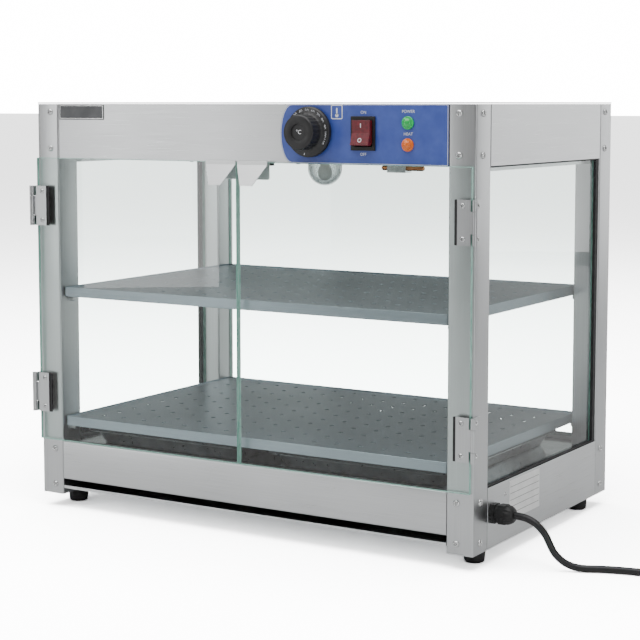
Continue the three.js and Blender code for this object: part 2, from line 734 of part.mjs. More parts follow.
const pullClip = () => {
  const face = DOOR_FRONT - GAP - PULL_T;
  const behind = DOOR_BACK + GAP;
  const top = DOOR_TOP + GAP + PULL_T;
  const bend = top - PULL_BEND;
  const half = PULL_W / 2;
  const tip = PULL_TIP_W / 2;
  const strip = outline([
    [behind, top],
    [behind, top - PULL_T],
    [face + PULL_T, top - PULL_T],
    [face + PULL_T, bend],
    [face - PULL_FORWARD + PULL_T, PULL_TIP_Z],
    [face - PULL_FORWARD, PULL_TIP_Z],
    [face, bend],
    [face, top],
  ]);
  const taper = outline([
    [-tip, PULL_TIP_Z - CUT],
    [tip, PULL_TIP_Z - CUT],
    [half, bend],
    [half, top + CUT],
    [-half, top + CUT],
    [-half, bend],
  ]);
  const flap = common(alongX(strip, -half, half), alongY(taper, face - PULL_FORWARD - CUT, behind + CUT));
  const legX = half - 1;
  const legShape = roundedRectangle(legX - LEG_W, legX, LEG_BOTTOM, top - 0.2, LEG_CORNER);
  const leg = alongY(legShape, behind, behind + PULL_T);
  const bridge = slab(legX - LEG_W, legX, DOOR_BACK, behind + PULL_T, top - PULL_T, top);
  return join(flap, leg, bridge);
};

// One door about its pin axis: glass, pull and two hinge leaves.
const door = (side, sx) => {
  const [x0, x1] = [DOOR_MEET - HINGE_X, DOOR_EDGE - HINGE_X];
  const [y0, y1] = [DOOR_FRONT - HINGE_Y, DOOR_BACK - HINGE_Y];
  const pane = slab(x0, x1, y0, y1, DOOR_BOTTOM, DOOR_TOP);
  const pullX = sx * (DOOR_MEET + PULL_W / 2 - HINGE_X);
  const leaves = Object.entries(HINGE_ZS).map(([level, z]) =>
    piece(`${level}_${side}_door_leaf`, handed(doorLeaf(), sx), brightSteel(), [0, 0, z]),
  );
  return groupAt([sx * HINGE_X, HINGE_Y, 0], [
    piece(`${side}_door_glass`, handed(pane, sx), floatGlass()),
    piece(`${side}_door_pull`, pullClip(), brightSteel(), [pullX, -HINGE_Y, 0]),
    ...leaves,
  ]);
};

const postLeaves = () =>
  SIDES.flatMap(([side, sx]) =>
    Object.entries(HINGE_ZS).map(([level, z]) =>
      piece(`${level}_${side}_post_leaf`, handed(postLeaf(), sx), brightSteel(), [sx * HINGE_X, HINGE_Y, z]),
    ),
  );

const CATCH = { x0: -40, x1: 38, front: 1.1, back: 9, height: 3 };
const magneticCatch = () => {
  const { x0, x1, front, back, height } = CATCH;
  return piece("magnetic_catch", slab(x0, x1, front, back, -height, 0), catchPlastic(), [
    0,
    FRONT,
    HEADER_BOTTOM - GAP,
  ]);
};

// ---------------------------------------------------------------- water trays
const TRAY_W = 222;
const TRAY_L = 290;
const TRAY_AT = [124, -6];
const TRAY_RIM_H = 17.6; // above the deck
const TRAY_RIM_T = 1.6;
const TRAY_RIM_W = 9;
const TRAY_CORNER = 16;
const TRAY_WALL_CORNER = 10;
const TRAY_T = 1;

// An open pan with a flat rim, about its own middle, standing on the deck at Z = 0.
const tray = () => {
  const plan = (inset, radius) =>
    roundedRectangle(
      -TRAY_W / 2 + inset,
      TRAY_W / 2 - inset,
      -TRAY_L / 2 + inset,
      TRAY_L / 2 - inset,
      radius,
    );
  const rim = alongZ(plan(0, TRAY_CORNER), TRAY_RIM_H - TRAY_RIM_T, TRAY_RIM_H);
  const wall = alongZ(plan(TRAY_RIM_W, TRAY_WALL_CORNER), GAP, TRAY_RIM_H - TRAY_T);
  const well = plan(TRAY_RIM_W + TRAY_T, TRAY_WALL_CORNER - TRAY_T);
  return cut(join(rim, wall), alongZ(well, GAP + TRAY_T, TRAY_RIM_H + CUT));
};

const trays = () =>
  SIDES.map(([side, sx]) =>
    piece(`${side}_tray`, tray(), brightSteel(), [sx * TRAY_AT[0], TRAY_AT[1], DECK_TOP]),
  );

// ---------------------------------------------------------------- power cord
const GLAND_LENGTH = 24.5; // outside the panel
const CORD_START = HALF_W + GLAND_LENGTH + GAP;
const CORD_Z = FLOOR + CORD_R;
const CORD_RUN_Y = -94;
const COIL_X = 500;
const COIL_MEAN = 42; // radius at the middle of its turns
const COIL_SECTION = 2 * CORD_R; // the turns lie round a circle of this radius in the coil's section
const COIL_ENTRY = COIL_MEAN + COIL_SECTION * Math.cos(Math.PI / 6);
const COIL_EXIT = COIL_MEAN + COIL_SECTION * Math.cos(Math.PI / 12);
const COIL_Y = CORD_RUN_Y + COIL_ENTRY;
const COIL_CLEAR = 0.25;
const COIL_FRONT = 30; // the tube ends this far before the coil's middle
const PLUG_R = 13;
const PLUG_AFTER_COIL = 30;

// Hex base, clamping ring, hex nut and domed cap outside the panel; thread and locknut inside it.
const gland = () => {
  const thread = rod(GLAND_THREAD_R, -12, 4, 16);
  const base = rod(10.8, GAP, 5, 6);
  const ring = rod(9, 4, 12, 16);
  const nut = rod(10.6, 8, 16, 6);
  const dome = turned(
    [[0, 14], [9.8, 14], [9.8, 17], [8.6, 21], [5.6, GLAND_LENGTH], [0, GLAND_LENGTH]],
    16,
  );
  const locknut = rod(10.8, -SHEET - GAP - 4, -SHEET - GAP, 6);
  return join(base, thread, ring, nut, dome, locknut);
};

// Out of the gland, down to the table and along it to the coil.
const cordTube = () => {
  const route = [
    [CORD_START, GLAND_Y, GLAND_Z],
    [306, -128.5, GLAND_Z],
    [314.6, -128.4, GLAND_Z - 1.1],
    [322.6, -128.1, GLAND_Z - 4.3],
    [329.5, -127.6, GLAND_Z - 9.5],
    [335, -126.8, GLAND_Z - 16.2],
    [338.8, -125.8, GLAND_Z - 24.1],
    [342.6, -124.4, GLAND_Z - 32],
    [348.1, -122.4, GLAND_Z - 38.7],
    [355, -119.6, GLAND_Z - 43.9],
    [363, -116, CORD_Z + 1.1],
    [371.6, -112.2, CORD_Z],
    [384, -106.4, CORD_Z],
    [398, -101.4, CORD_Z],
    [414, -97.4, CORD_Z],
    [430, -95, CORD_Z],
    [446, -94.1, CORD_Z],
    [458, CORD_RUN_Y, CORD_Z + 0.3],
    [COIL_X - COIL_FRONT, CORD_RUN_Y, CORD_Z + 1.2],
  ].map((point) => new THREE.Vector3(...point));
  const extrudePath = new THREE.CatmullRomCurve3(route, false, "centripetal");
  const section = new THREE.Shape().absarc(0, 0, CORD_R, 0, Math.PI * 2);
  return new THREE.ExtrudeGeometry(section, { steps: 18, curveSegments: 4, extrudePath });
};

const coilRing = () => {
  const outer = COIL_MEAN + COIL_SECTION + CORD_R + COIL_CLEAR;
  const inner = COIL_MEAN - COIL_SECTION - CORD_R - COIL_CLEAR;
  const height = 2 * (COIL_SECTION + CORD_R);
  return turned([[inner, 0], [outer, 0], [outer, height], [inner, height], [inner, 0]], 24);
};

// A moulded plug along +Z: tapered tail, grip body, two flat pins and a round one.
const plug = () => {
  const moulded = turned(
    [[0, 0], [4.6, 0], [6.4, 18], [9.5, 22], [PLUG_R, 28], [PLUG_R, 50], [11.6, 52], [0, 52]],
    14,
  );
  const flatPins = [-6.3, 6.3].map((x) => slab(x - 0.8, x + 0.8, 0.8, 7.2, 51, 68));
  const roundPin = rod(2.4, 51, 69, 10).translate(0, -6.5, 0);
  return join(moulded, ...flatPins, roundPin);
};

const cord = () => {
  const plugAt = [COIL_X + COIL_EXIT, COIL_Y + PLUG_AFTER_COIL, FLOOR + PLUG_R];
  return [
    piece("cable_gland", gland(), blackPlastic(), [HALF_W, GLAND_Y, GLAND_Z], TO_RIGHT),
    piece("power_cord", cordTube(), blackRubber()),
    piece("cord_coil", coilRing(), blackRubber(), [COIL_X, COIL_Y, FLOOR]),
    piece("power_plug", plug(), blackRubber(), plugAt, TO_REAR),
  ];
};

// ---------------------------------------------------------------- the whole object
const frame = [...posts(), ...headerPanels(), ...basePanels(), ...plates(), ...panes(), ...feet()];
const inside = [lamp(), ...probe(), ...heater()];
const fittings = [controls(), ...postLeaves(), magneticCatch(), ...cord()];
const movable = [...SIDES.map(([side, sx]) => door(side, sx)), ...shelves(), ...trays()];

// The case's own frame is centred between its posts and starts at their undersides. The knob makes the
// object deeper at the front, so the case stands half of that reach behind the object's middle.
export default groupAt([0, KNOB_REACH / 2, FOOT_H], [...frame, ...inside, ...fittings, ...movable]);
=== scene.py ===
"""The looks of a countertop hot food display case: brushed stainless frame, clear glass, perforated shelves,
water trays, a control header and a mains cord. Sizes are millimetres in the case's own frame, which is centred
between its posts and starts at their undersides; place() takes them to the row frame in metres."""

import json
import math

import bmesh
import bpy
import numpy as np
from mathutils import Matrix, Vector


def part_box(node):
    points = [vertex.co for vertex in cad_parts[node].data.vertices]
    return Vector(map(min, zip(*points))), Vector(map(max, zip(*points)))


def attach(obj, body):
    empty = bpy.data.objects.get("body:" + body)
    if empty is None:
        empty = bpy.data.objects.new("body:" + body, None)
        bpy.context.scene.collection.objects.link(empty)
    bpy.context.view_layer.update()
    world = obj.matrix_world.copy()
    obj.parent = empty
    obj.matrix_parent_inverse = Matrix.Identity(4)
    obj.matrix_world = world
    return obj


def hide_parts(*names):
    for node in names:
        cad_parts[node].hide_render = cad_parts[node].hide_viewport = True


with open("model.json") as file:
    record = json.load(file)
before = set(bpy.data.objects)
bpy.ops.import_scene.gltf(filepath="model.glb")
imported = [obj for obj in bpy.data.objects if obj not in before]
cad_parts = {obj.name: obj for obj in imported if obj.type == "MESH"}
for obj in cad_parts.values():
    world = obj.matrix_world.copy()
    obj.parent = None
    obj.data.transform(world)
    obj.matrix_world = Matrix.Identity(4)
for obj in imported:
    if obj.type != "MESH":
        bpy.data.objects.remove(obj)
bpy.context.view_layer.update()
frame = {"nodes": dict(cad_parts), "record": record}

MM = 0.001
NODES = frame["nodes"]
RECORD = frame["record"]
BODY_OF = {node: body for body, nodes in RECORD["behaviour"]["bodies"].items() for node in nodes}

# ---- sizes, in millimetres
cover_low, cover_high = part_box("top_cover")
CASE_H = 450.0
ORIGIN = np.array([0.0, (cover_low.y + cover_high.y) / 2, cover_high.z - CASE_H * MM])


def case_box(node):
    """A CAD node's lowest and highest corners, in the case's millimetres."""
    return [(np.array(corner) - ORIGIN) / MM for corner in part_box(node)]


def middle(node):
    """The middle of a CAD node's box, in the case's millimetres."""
    low, high = case_box(node)
    return (low + high) / 2


GAP = 0.3
SHEET = 1.2
HALF_W, HALF_D = case_box("top_cover")[1][:2]
FRONT, REAR = -HALF_D, HALF_D
FLOOR = -ORIGIN[2] / MM
BODY_TOP = case_box("front_left_post")[1][2]
PANEL_X = case_box("header_front_panel")[1][0]
PANEL_FACE, HEADER_BOTTOM = case_box("header_front_panel")[0][1:]
PANEL_Y = case_box("header_left_panel")[1][1]
POST_X, POST_Y = HALF_W - PANEL_X - GAP, HALF_D - PANEL_Y - GAP
BASE_TOP = case_box("base_left_panel")[1][2]
DOOR_FRONT = case_box("left_door_glass")[0][1]
HINGE_Z = {level: middle(f"{level}_left_door_leaf")[2] for level in ("upper", "lower")}
SIDES = {"left": -1, "right": 1}
ENDS = {"front": -1, "rear": 1}
CORD_R = 3.75

# What local x, y and z become in the case's frame, for a piece whose own z looks in that direction.
FACING = {
    "up": ((1, 0, 0), (0, 1, 0), (0, 0, 1)),
    "down": ((1, 0, 0), (0, -1, 0), (0, 0, -1)),
    "front": ((1, 0, 0), (0, 0, 1), (0, -1, 0)),
    "rear": ((-1, 0, 0), (0, 0, 1), (0, 1, 0)),
    "right": ((0, 1, 0), (0, 0, 1), (1, 0, 0)),
    "left": ((0, -1, 0), (0, 0, 1), (-1, 0, 0)),
}


def turn(points, facing="up", at=(0, 0, 0)):
    """Local points turned to face a direction and moved to a place in the case's frame."""
    return np.asarray(points, float) @ np.array(FACING[facing], float) + np.array(at, float)


def place(points):
    """Case millimetres to row metres."""
    return np.asarray(points, float) * MM + ORIGIN


# ---- material tools
def linear(colour):
    """An sRGB hex value as linear RGBA: a straight toe below 0.04045, a 2.4 power above it."""
    value = np.array([int(colour[i : i + 2], 16) for i in (1, 3, 5)]) / 255
    value = np.where(value <= 0.04045, value / 12.92, ((value + 0.055) / 1.055) ** 2.4)
    return (*value.tolist(), 1.0)


def add(tree, kind, inputs=None, **settings):
    """Adds a node. A number or colour is set on its socket, and another node's output is linked to it."""
    made = tree.nodes.new(kind)
    for key, value in settings.items():
        setattr(made, key, value)
    for key, value in (inputs or {}).items():
        if isinstance(value, bpy.types.NodeSocket):
            tree.links.new(value, made.inputs[key])
        else:
            made.inputs[key].default_value = value
    return made


def blank(name):
    """A new material with an empty node tree."""
    material = bpy.data.materials.new(name)
    material.use_nodes = True
    material.node_tree.nodes.clear()
    return material, material.node_tree


def noise(tree, size_mm, detail=2.0):
    """Noise on Object coordinates. Its features are size_mm long: one size, or one each for X, Y and Z."""
    where = add(tree, "ShaderNodeTexCoord").outputs["Object"]
    scale = tuple(1000 / float(size) for size in np.broadcast_to(size_mm, 3))
    spot = add(tree, "ShaderNodeMapping", {"Vector": where, "Scale": scale}).outputs["Vector"]
    return add(tree, "ShaderNodeTexNoise", {"Vector": spot, "Scale": 1.0, "Detail": detail}).outputs["Fac"]


def spread(tree, value, low, high):
    """The noise's middle range stretched to run from low to high."""
    inputs = {"Value": value, "From Min": 0.3, "From Max": 0.7, "To Min": low, "To Max": high}
    return add(tree, "ShaderNodeMapRange", inputs).outputs["Result"]


def between(tree, value, dark, light):
    """A colour from dark to light, as the noise goes through its middle range."""
    ramp = add(tree, "ShaderNodeValToRGB", {"Fac": value})
    for stop, position, colour in zip(ramp.color_ramp.elements, (0.3, 0.7), (dark, light)):
        stop.position = position
        stop.color = linear(colour)
    return ramp.outputs["Color"]


def bump(tree, height, depth_mm, strength=1.0):
    """A normal for relief that is depth_mm deep where the height goes from 0 to 1."""
    inputs = {"Height": height, "Distance": depth_mm * MM, "Strength": strength}
    return add(tree, "ShaderNodeBump", inputs).outputs["Normal"]


def shaded(name, inputs):
    """A material from a function that gives the Principled shader's sockets for a tree."""
    material, tree = blank(name)
    shader = add(tree, "ShaderNodeBsdfPrincipled", inputs(tree))
    add(tree, "ShaderNodeOutputMaterial", {"Surface": shader.outputs["BSDF"]})
    return material


# ---- materials
def brushed_stainless(name, along, dark="#B6B8B9", light="#C8CACB", roughness=0.31, depth_mm=0.006):
    """304 stainless rolled and belt-brushed: fine parallel scratches that smear reflections across them.
    The scratches are 0.1 mm wide on the real sheet, too fine to show, so they are drawn 0.7 mm wide."""
    size = [0.7, 0.7, 0.7]
    size["xyz".index(along)] = 70.0

    def inputs(tree):
        scratch = noise(tree, size, 3.0)
        cloud = noise(tree, 120, 1.0)
        both = add(tree, "ShaderNodeMath", {0: scratch, 1: cloud}, operation="ADD").outputs[0]
        half = add(tree, "ShaderNodeMath", {0: both, 1: 0.5}, operation="MULTIPLY").outputs[0]
        return {
            "Base Color": between(tree, half, dark, light),
            "Metallic": 1.0,
            "Roughness": spread(tree, scratch, roughness - 0.04, roughness + 0.05),
            "Normal": bump(tree, scratch, depth_mm, 0.5),
        }

    return shaded(name, inputs)


def bright_stainless(name="bright_annealed_stainless", roughness=0.16, dark="#C6C9CB", light="#DCDEDF"):
    """Stainless pressed from bright annealed sheet: nearly a mirror, with slight ripples from the press."""

    def inputs(tree):
        ripple = noise(tree, 18, 2.0)
        return {
            "Base Color": between(tree, ripple, dark, light),
            "Metallic": 1.0,
            "Roughness": spread(tree, noise(tree, 5), roughness - 0.03, roughness + 0.05),
            "Normal": bump(tree, ripple, 0.06, 0.35),
        }

    return shaded(name, inputs)


def patterned(name, colours, colour_mm, roughness, rough_mm, sockets, detail=2.0):
    """A material whose colour and roughness each follow a noise of a real size; its other sockets are even."""
    return shaded(
        name,
        lambda tree: {
            "Base Color": between(tree, noise(tree, colour_mm, detail), *colours),
            "Roughness": spread(tree, noise(tree, rough_mm), *roughness),
            **sockets,
        },
    )


def clear_float_glass():
    """Polished float glass, 4 mm: it lets almost everything through and mirrors a little at grazing angles.
    A pane tints at both faces and mirrors only at the one towards the viewer: light isn't bent here, so a
    Fresnel share on the far face would mirror everything beyond 41 degrees."""
    material, tree = blank("polished_float_glass")
    seen = add(tree, "ShaderNodeBsdfTransparent", {"Color": linear("#FAFDFC")}).outputs[0]
    gloss = add(tree, "ShaderNodeBsdfGlossy", {"Color": linear("#FFFFFF"), "Roughness": 0.0}).outputs[0]
    fresnel = add(tree, "ShaderNodeFresnel", {"IOR": 1.52}).outputs[0]
    behind = add(tree, "ShaderNodeNewGeometry").outputs["Backfacing"]
    before = add(tree, "ShaderNodeMath", {0: 1.0, 1: behind}, operation="SUBTRACT").outputs[0]
    share = add(tree, "ShaderNodeMath", {0: fresnel, 1: before}, operation="MULTIPLY").outputs[0]
    both = add(tree, "ShaderNodeMixShader", {"Fac": share, 1: seen, 2: gloss}).outputs[0]
    add(tree, "ShaderNodeOutputMaterial", {"Surface": both})
    return material


def pressed_lamp_glass():
    """Pressed borosilicate, 1.6 mm: clear where it is seen square on, and pale grey towards its rims, where the
    look goes through far more of the wall. The grey is mostly painted shade, standing in for the dark outline that
    the glass shows at grazing angles."""
    material, tree = blank("pressed_lamp_glass")
    # Towards the rims the clear glass blends into an opaque grey: painted shade for the dark outline at grazing
    # angles.
    facing = add(tree, "ShaderNodeLayerWeight", {"Blend": 0.35}).outputs["Facing"]
    share = add(tree, "ShaderNodeMapRange", {"Value": facing, "To Min": 0.14, "To Max": 0.85}).outputs["Result"]
    seen = add(tree, "ShaderNodeBsdfTransparent", {"Color": linear("#F4F6F6")}).outputs[0]
    wall = {
        "Base Color": between(tree, noise(tree, 9), "#A7ACAF", "#D5D9DB"),
        "Roughness": spread(tree, noise(tree, 5), 0.06, 0.14),
        "Coat Weight": 1.0,
    }
    body = add(tree, "ShaderNodeBsdfPrincipled", wall).outputs["BSDF"]
    both = add(tree, "ShaderNodeMixShader", {"Fac": share, 1: seen, 2: body}).outputs[0]
    add(tree, "ShaderNodeOutputMaterial", {"Surface": both})
    return material


def moulded(name, dark, light, roughness, grain_mm=0.9, depth_mm=0.02, ior=1.5):
    """Moulded plastic or rubber: even colour with a fine spark-eroded texture from the tool. The texture is
    0.2 mm on the real part and is drawn coarser to show."""
    return shaded(
        name,
        lambda tree: {
            "Base Color": between(tree, noise(tree, 14), dark, light),
            "Roughness": spread(tree, noise(tree, 6), roughness - 0.05, roughness + 0.06),
            "Normal": bump(tree, noise(tree, grain_mm), depth_mm, 0.5),
            "IOR": ior,
        },
    )


def tinted_lens_painted_glow(name, dark, light, glow, roughness=0.15):
    """Translucent polycarbonate, moulded with a faceted inside: glossy, with a weak emission that paints on a glow
    for the light gathered in its middle.
    """
    # The emission is a painted glow: it stands in for gathered light and is not lit by any lamp in the scene.
    sockets = {"Emission Color": linear(glow), "Emission Strength": 0.12, "IOR": 1.58}
    return patterned(name, (dark, light), 3, (roughness - 0.05, roughness + 0.05), 2, sockets)


HORIZONTAL = brushed_stainless("brushed_stainless_front", "x", "#BCBEBF", "#CFD1D2")
SIDEWAYS = brushed_stainless("brushed_stainless_side", "y", "#BFC1C2", "#CFD1D2")
UPRIGHT = brushed_stainless("brushed_stainless_post", "z", roughness=0.32)
SHELF_STEEL = brushed_stainless("perforated_stainless", "x", "#8B959D", "#A0AAB2", 0.36)
BRIGHT = bright_stainless()
# The trays' steel colour is darkened: painted shade for the shade they sit in under the lower shelf.
TRAY_STEEL_PAINTED_SHADE = bright_stainless("pressed_tray_stainless_painted_shade", 0.3, "#7C7F81", "#8E9193")
PULL_STEEL = brushed_stainless("pale_bead_blasted_stainless", "x", "#DADCDD", "#EDEFEF", 0.42)
DECK_STEEL = bright_stainless("polished_deck_stainless", 0.12)
GLASS = clear_float_glass()
LAMP_GLASS = pressed_lamp_glass()
RUBBER = moulded("moulded_rubber", "#131314", "#202022", 0.62)
CORD_PVC = moulded("extruded_black_pvc", "#141415", "#1F1F21", 0.42, 1.4, 0.015)
PHENOLIC = moulded("moulded_phenolic", "#161617", "#222223", 0.46)
SWITCH_NYLON = moulded("moulded_black_nylon", "#0A0A0B", "#111112", 0.5)
BLUE_FILM = moulded("printed_polycarbonate_film", "#3A4F9F", "#465BAA", 0.36, 0.7, 0.006)
WHITE_INK = moulded("white_screen_print", "#DADDE4", "#F2F3F6", 0.5, 0.6, 0.004)
DARK_INK = moulded("dark_screen_print", "#3B3C3E", "#4C4D4F", 0.55, 0.6, 0.004)
PLATE_LACQUER = moulded("dark_anodised_plate", "#3E4042", "#4E5052", 0.34, 0.6, 0.006)
LABEL_FOIL = moulded("printed_label_foil", "#E4E5E4", "#F1F2F1", 0.55, 0.8, 0.01)
# The rocker, the two lenses and the bulb glass below carry a painted glow from a weak emission.
ROCKER_RED = tinted_lens_painted_glow("translucent_red_polycarbonate", "#4E0A14", "#701622", "#4A0A13", 0.5)
GREEN_LENS = tinted_lens_painted_glow("translucent_green_polycarbonate", "#08963F", "#1CC462", "#10B050")
AMBER_LENS = tinted_lens_painted_glow("translucent_amber_polycarbonate", "#C9560F", "#EE8030", "#D06414")
CERAMIC = moulded("glazed_steatite", "#D8D3C6", "#EAE6DC", 0.3, 2.0, 0.02, 1.6)
CAST_ZINC = bright_stainless("plain_zinc_plate", 0.42)
WARM_GLASS = tinted_lens_painted_glow("frosted_lamp_glass", "#E9E8E2", "#F8F7F2", "#F4F2EA", 0.4)

METAL = {"Metallic": 1.0}
# Nickel-plated screw steel: small, bright, and slightly dulled by handling.
SCREW_STEEL = patterned("nickel_plated_steel", ("#B9BABA", "#E2E3E3"), 1.5, (0.16, 0.28), 2, METAL)
# The ground edge of float glass: iron in the melt shows green along the sheet.
GLASS_EDGE = patterned("ground_glass_edge", ("#6FA797", "#A9D2C6"), (2, 2, 14), (0.18, 0.34), 0.8, {"IOR": 1.52})
# Drawn copper tube: warm, with lines along the draw and brown patches of oxide.
COPPER = patterned("drawn_copper", ("#8F5A38", "#C98A5C"), (20, 2, 2), (0.25, 0.42), (30, 1, 1), METAL)
# A steel element sheath after heating: dull grey-green oxide with lighter worn spots.
SHEATH = patterned("heat_darkened_sheath", ("#3F423D", "#6A6D66"), 9, (0.42, 0.62), 4, {"Metallic": 0.9}, 4.0)


# ---- mesh tools
def linked(name, data):
    """A new object in the scene for a mesh, curve, camera or light."""
    made = bpy.data.objects.new(name, data)
    bpy.context.scene.collection.objects.link(made)
    return made


def coated(mesh, material, sharp):
    """Gives a mesh its one material, and smooth shading where it bends by less than sharp degrees."""
    mesh.materials.clear()
    mesh.materials.append(material)
    mesh.shade_smooth()
    mesh.set_sharp_from_angle(angle=math.radians(sharp))


def finished(piece, body, stands_for=()):
    """Puts a piece on its body and the CAD nodes that it stands for."""
    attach(piece, body)
    if stands_for:
        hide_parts(*stands_for)
    return piece


def surface(name, parts, material, body, stands_for=(), sharp=32):
    """One piece from (case points, faces) parts. Doubles are merged, faces turned outwards, and edges that
    bend by more than sharp degrees stay crisp."""
    points, faces, start = [], [], 0
    for part_points, part_faces in parts:
        points.append(np.asarray(part_points, float))
        faces += [tuple(int(i) + start for i in face) for face in part_faces]
        start += len(part_points)
    mesh = bpy.data.meshes.new(name)
    mesh.from_pydata(place(np.concatenate(points)).tolist(), [], faces)
    work = bmesh.new()
    work.from_mesh(mesh)
    bmesh.ops.remove_doubles(work, verts=work.verts, dist=1e-6)
    bmesh.ops.dissolve_degenerate(work, edges=work.edges, dist=1e-7)
    bmesh.ops.delete(work, geom=[v for v in work.verts if not v.link_faces], context="VERTS")
    bmesh.ops.recalc_face_normals(work, faces=work.faces)
    work.to_mesh(mesh)
    work.free()
    coated(mesh, material, sharp)
    return finished(linked(name, mesh), body, stands_for)


def in_place_of(node, name, parts, material, sharp=32):
    """A surface that stands for one CAD node, on the same body and slot."""
    return surface(name, parts, material, BODY_OF[node], [node], sharp)


def grid_faces(rows, columns, close_rows=False):
    """Quads of a grid whose columns wrap round. close_rows joins the last row to the first as well."""
    row = np.arange(rows if close_rows else rows - 1)[:, None]
    column = np.arange(columns)[None, :]
    after, beside = (row + 1) % rows, (column + 1) % columns
    corners = (row * columns + column, row * columns + beside, after * columns + beside, after * columns + column)
    return np.stack(corners, axis=-1).reshape(-1, 4)


def lofted(rings, closed=False):
    """A surface through rings of equal count. Its two ends are capped, unless the rings close on themselves."""
    stack = np.stack(rings)
    rows, columns = stack.shape[:2]
    faces = grid_faces(rows, columns, closed).tolist()
    if not closed:
        faces += [list(range(columns))[::-1], list(range((rows - 1) * columns, rows * columns))]
    return stack.reshape(-1, 3), faces


def turned(profile, sides=48, radius=None):
    """A (radius, height) profile turned about z. radius(angle, r, h) may change each ring's radius."""
    angle = np.linspace(0, 2 * math.pi, sides, endpoint=False)
    r, h = (np.array(column, float)[:, None] for column in zip(*profile))
    reach = r * np.ones_like(angle) if radius is None else radius(angle[None, :], r, h)
    rings = np.stack([reach * np.cos(angle), reach * np.sin(angle), h * np.ones_like(reach)], axis=-1)
    return lofted(list(rings))


def at_height(plan, z):
    """Points (x, y) lifted to one height."""
    return np.column_stack([plan, np.full(len(plan), z)])


def rounded_ring(half_x, half_y, corner, z, steps=6):
    """A rectangle with round corners: a quarter circle of steps + 1 points about each corner's centre."""
    angle = np.linspace(0, math.pi / 2, steps + 1)
    centre = np.array([half_x - corner, half_y - corner])
    quarters = []
    for k, (sx, sy) in enumerate(((1, 1), (-1, 1), (-1, -1), (1, -1))):
        a = angle + k * math.pi / 2
        quarters.append(np.array([sx, sy]) * centre + corner * np.stack([np.cos(a), np.sin(a)], axis=-1))
    return at_height(np.concatenate(quarters), z)


def stacked(levels, closed=False):
    """Rectangles with round corners, each (half_x, half_y, corner, z), joined in turn."""
    return lofted([rounded_ring(*level) for level in levels], closed)


def hexagonal(across, share=1.0):
    """A radius function for a hexagon of that width across its flats, blended with the plain circle."""

    def radius(angle, r, h):
        flat = across / 2 / np.cos((angle % (math.pi / 3)) - math.pi / 6)
        return np.where(r > 0, share * np.minimum(flat, r) + (1 - share) * r, 0 * flat)

    return radius


def bent_sheet(fold, half_length, thickness=SHEET, bend=1.6, steps=5):
    """A folded sheet: its middle line is a (depth, height) polyline whose corners become arcs of radius bend,
    and its faces lie half a thickness to each side. Depth runs back from the face it shows, and the section is
    carried along local x."""
    line, normals = [], []
    fold = np.array(fold, float)
    for i, point in enumerate(fold):
        before = point - fold[i - 1] if i else fold[1] - point
        after = fold[i + 1] - point if i + 1 < len(fold) else before
        before, after = before / np.hypot(*before), after / np.hypot(*after)
        angle = math.atan2(before[0] * after[1] - before[1] * after[0], before @ after)
        left = np.array([-before[1], before[0]])
        if abs(angle) < 1e-6:
            line.append(point[None])
            normals.append(left[None])
            continue
        start = point - before * bend * math.tan(abs(angle) / 2)
        sweep = np.linspace(0, angle, steps + 1)
        cos, sin = np.cos(sweep), np.sin(sweep)
        normal = np.column_stack([cos * left[0] - sin * left[1], sin * left[0] + cos * left[1]])
        side = math.copysign(bend, angle)
        line.append(start + side * left - side * normal)
        normals.append(normal)
    line, normals = np.concatenate(line), np.concatenate(normals) * thickness / 2
    section = np.concatenate([line + normals, (line - normals)[::-1]])
    ring = lambda x: np.column_stack([np.full(len(section), x), section[:, 1], -section[:, 0]])
    return lofted([ring(-half_length), ring(half_length)])


def moved(part, facing="up", at=(0, 0, 0)):
    """A part turned to face a direction and moved to a place in the case's frame."""
    return turn(part[0], facing, at), part[1]


def shifted(part, x=0.0, y=0.0, z=0.0):
    """A part moved within its own local frame."""
    return part[0] + np.array([x, y, z]), part[1]


def spun(points, angle, axis="z"):
    """Points turned by an angle in radians about their local z, or about their local x."""
    cos, sin = math.cos(angle), math.sin(angle)
    if axis == "z":
        return points @ np.array([[cos, sin, 0], [-sin, cos, 0], [0, 0, 1]])
    return points @ np.array([[1, 0, 0], [0, cos, sin], [0, -sin, cos]])


def dressed(node, material, edge_mm=0.0, sharp=35):
    """A copy of a CAD node, its loose triangles merged, its flat faces joined and its edges rounded by a bevel."""
    mesh = NODES[node].data.copy()
    mesh.name = f"{node}_finished"
    work = bmesh.new()
    work.from_mesh(mesh)
    bmesh.ops.remove_doubles(work, verts=work.verts, dist=1e-6)
    bmesh.ops.dissolve_limit(work, angle_limit=math.radians(0.5), verts=work.verts, edges=work.edges)
    work.to_mesh(mesh)
    work.free()
    coated(mesh, material, sharp)
    piece = linked(mesh.name, mesh)
    if edge_mm:
        bevel = piece.modifiers.new("worn_edges", "BEVEL")
        bevel.width, bevel.segments = edge_mm * MM, 2
        bevel.limit_method, bevel.angle_limit = "ANGLE", math.radians(40)
        bevel.harden_normals = True
    return finished(piece, BODY_OF[node], [node])


def painted(node, material):
    """A CAD node whose shape is right keeps it, with a better material."""
    NODES[node].data.materials.clear()
    NODES[node].data.materials.append(material)


def lettering(text, size_mm, lift=0.04):
    """Flat letters about their own middle, facing local z, as thin as a coat of ink."""
    curve = bpy.data.curves.new("letters", "FONT")
    curve.body, curve.size, curve.extrude = text, size_mm, lift
    curve.align_x, curve.align_y = "CENTER", "CENTER"
    holder = linked("letters", curve)
    mesh = bpy.data.meshes.new_from_object(holder)
    points = np.array([vertex.co for vertex in mesh.vertices], float).reshape(-1, 3)
    faces = [tuple(face.vertices) for face in mesh.polygons]
    bpy.data.objects.remove(holder)
    bpy.data.curves.remove(curve)
    bpy.data.meshes.remove(mesh)
    return points, faces


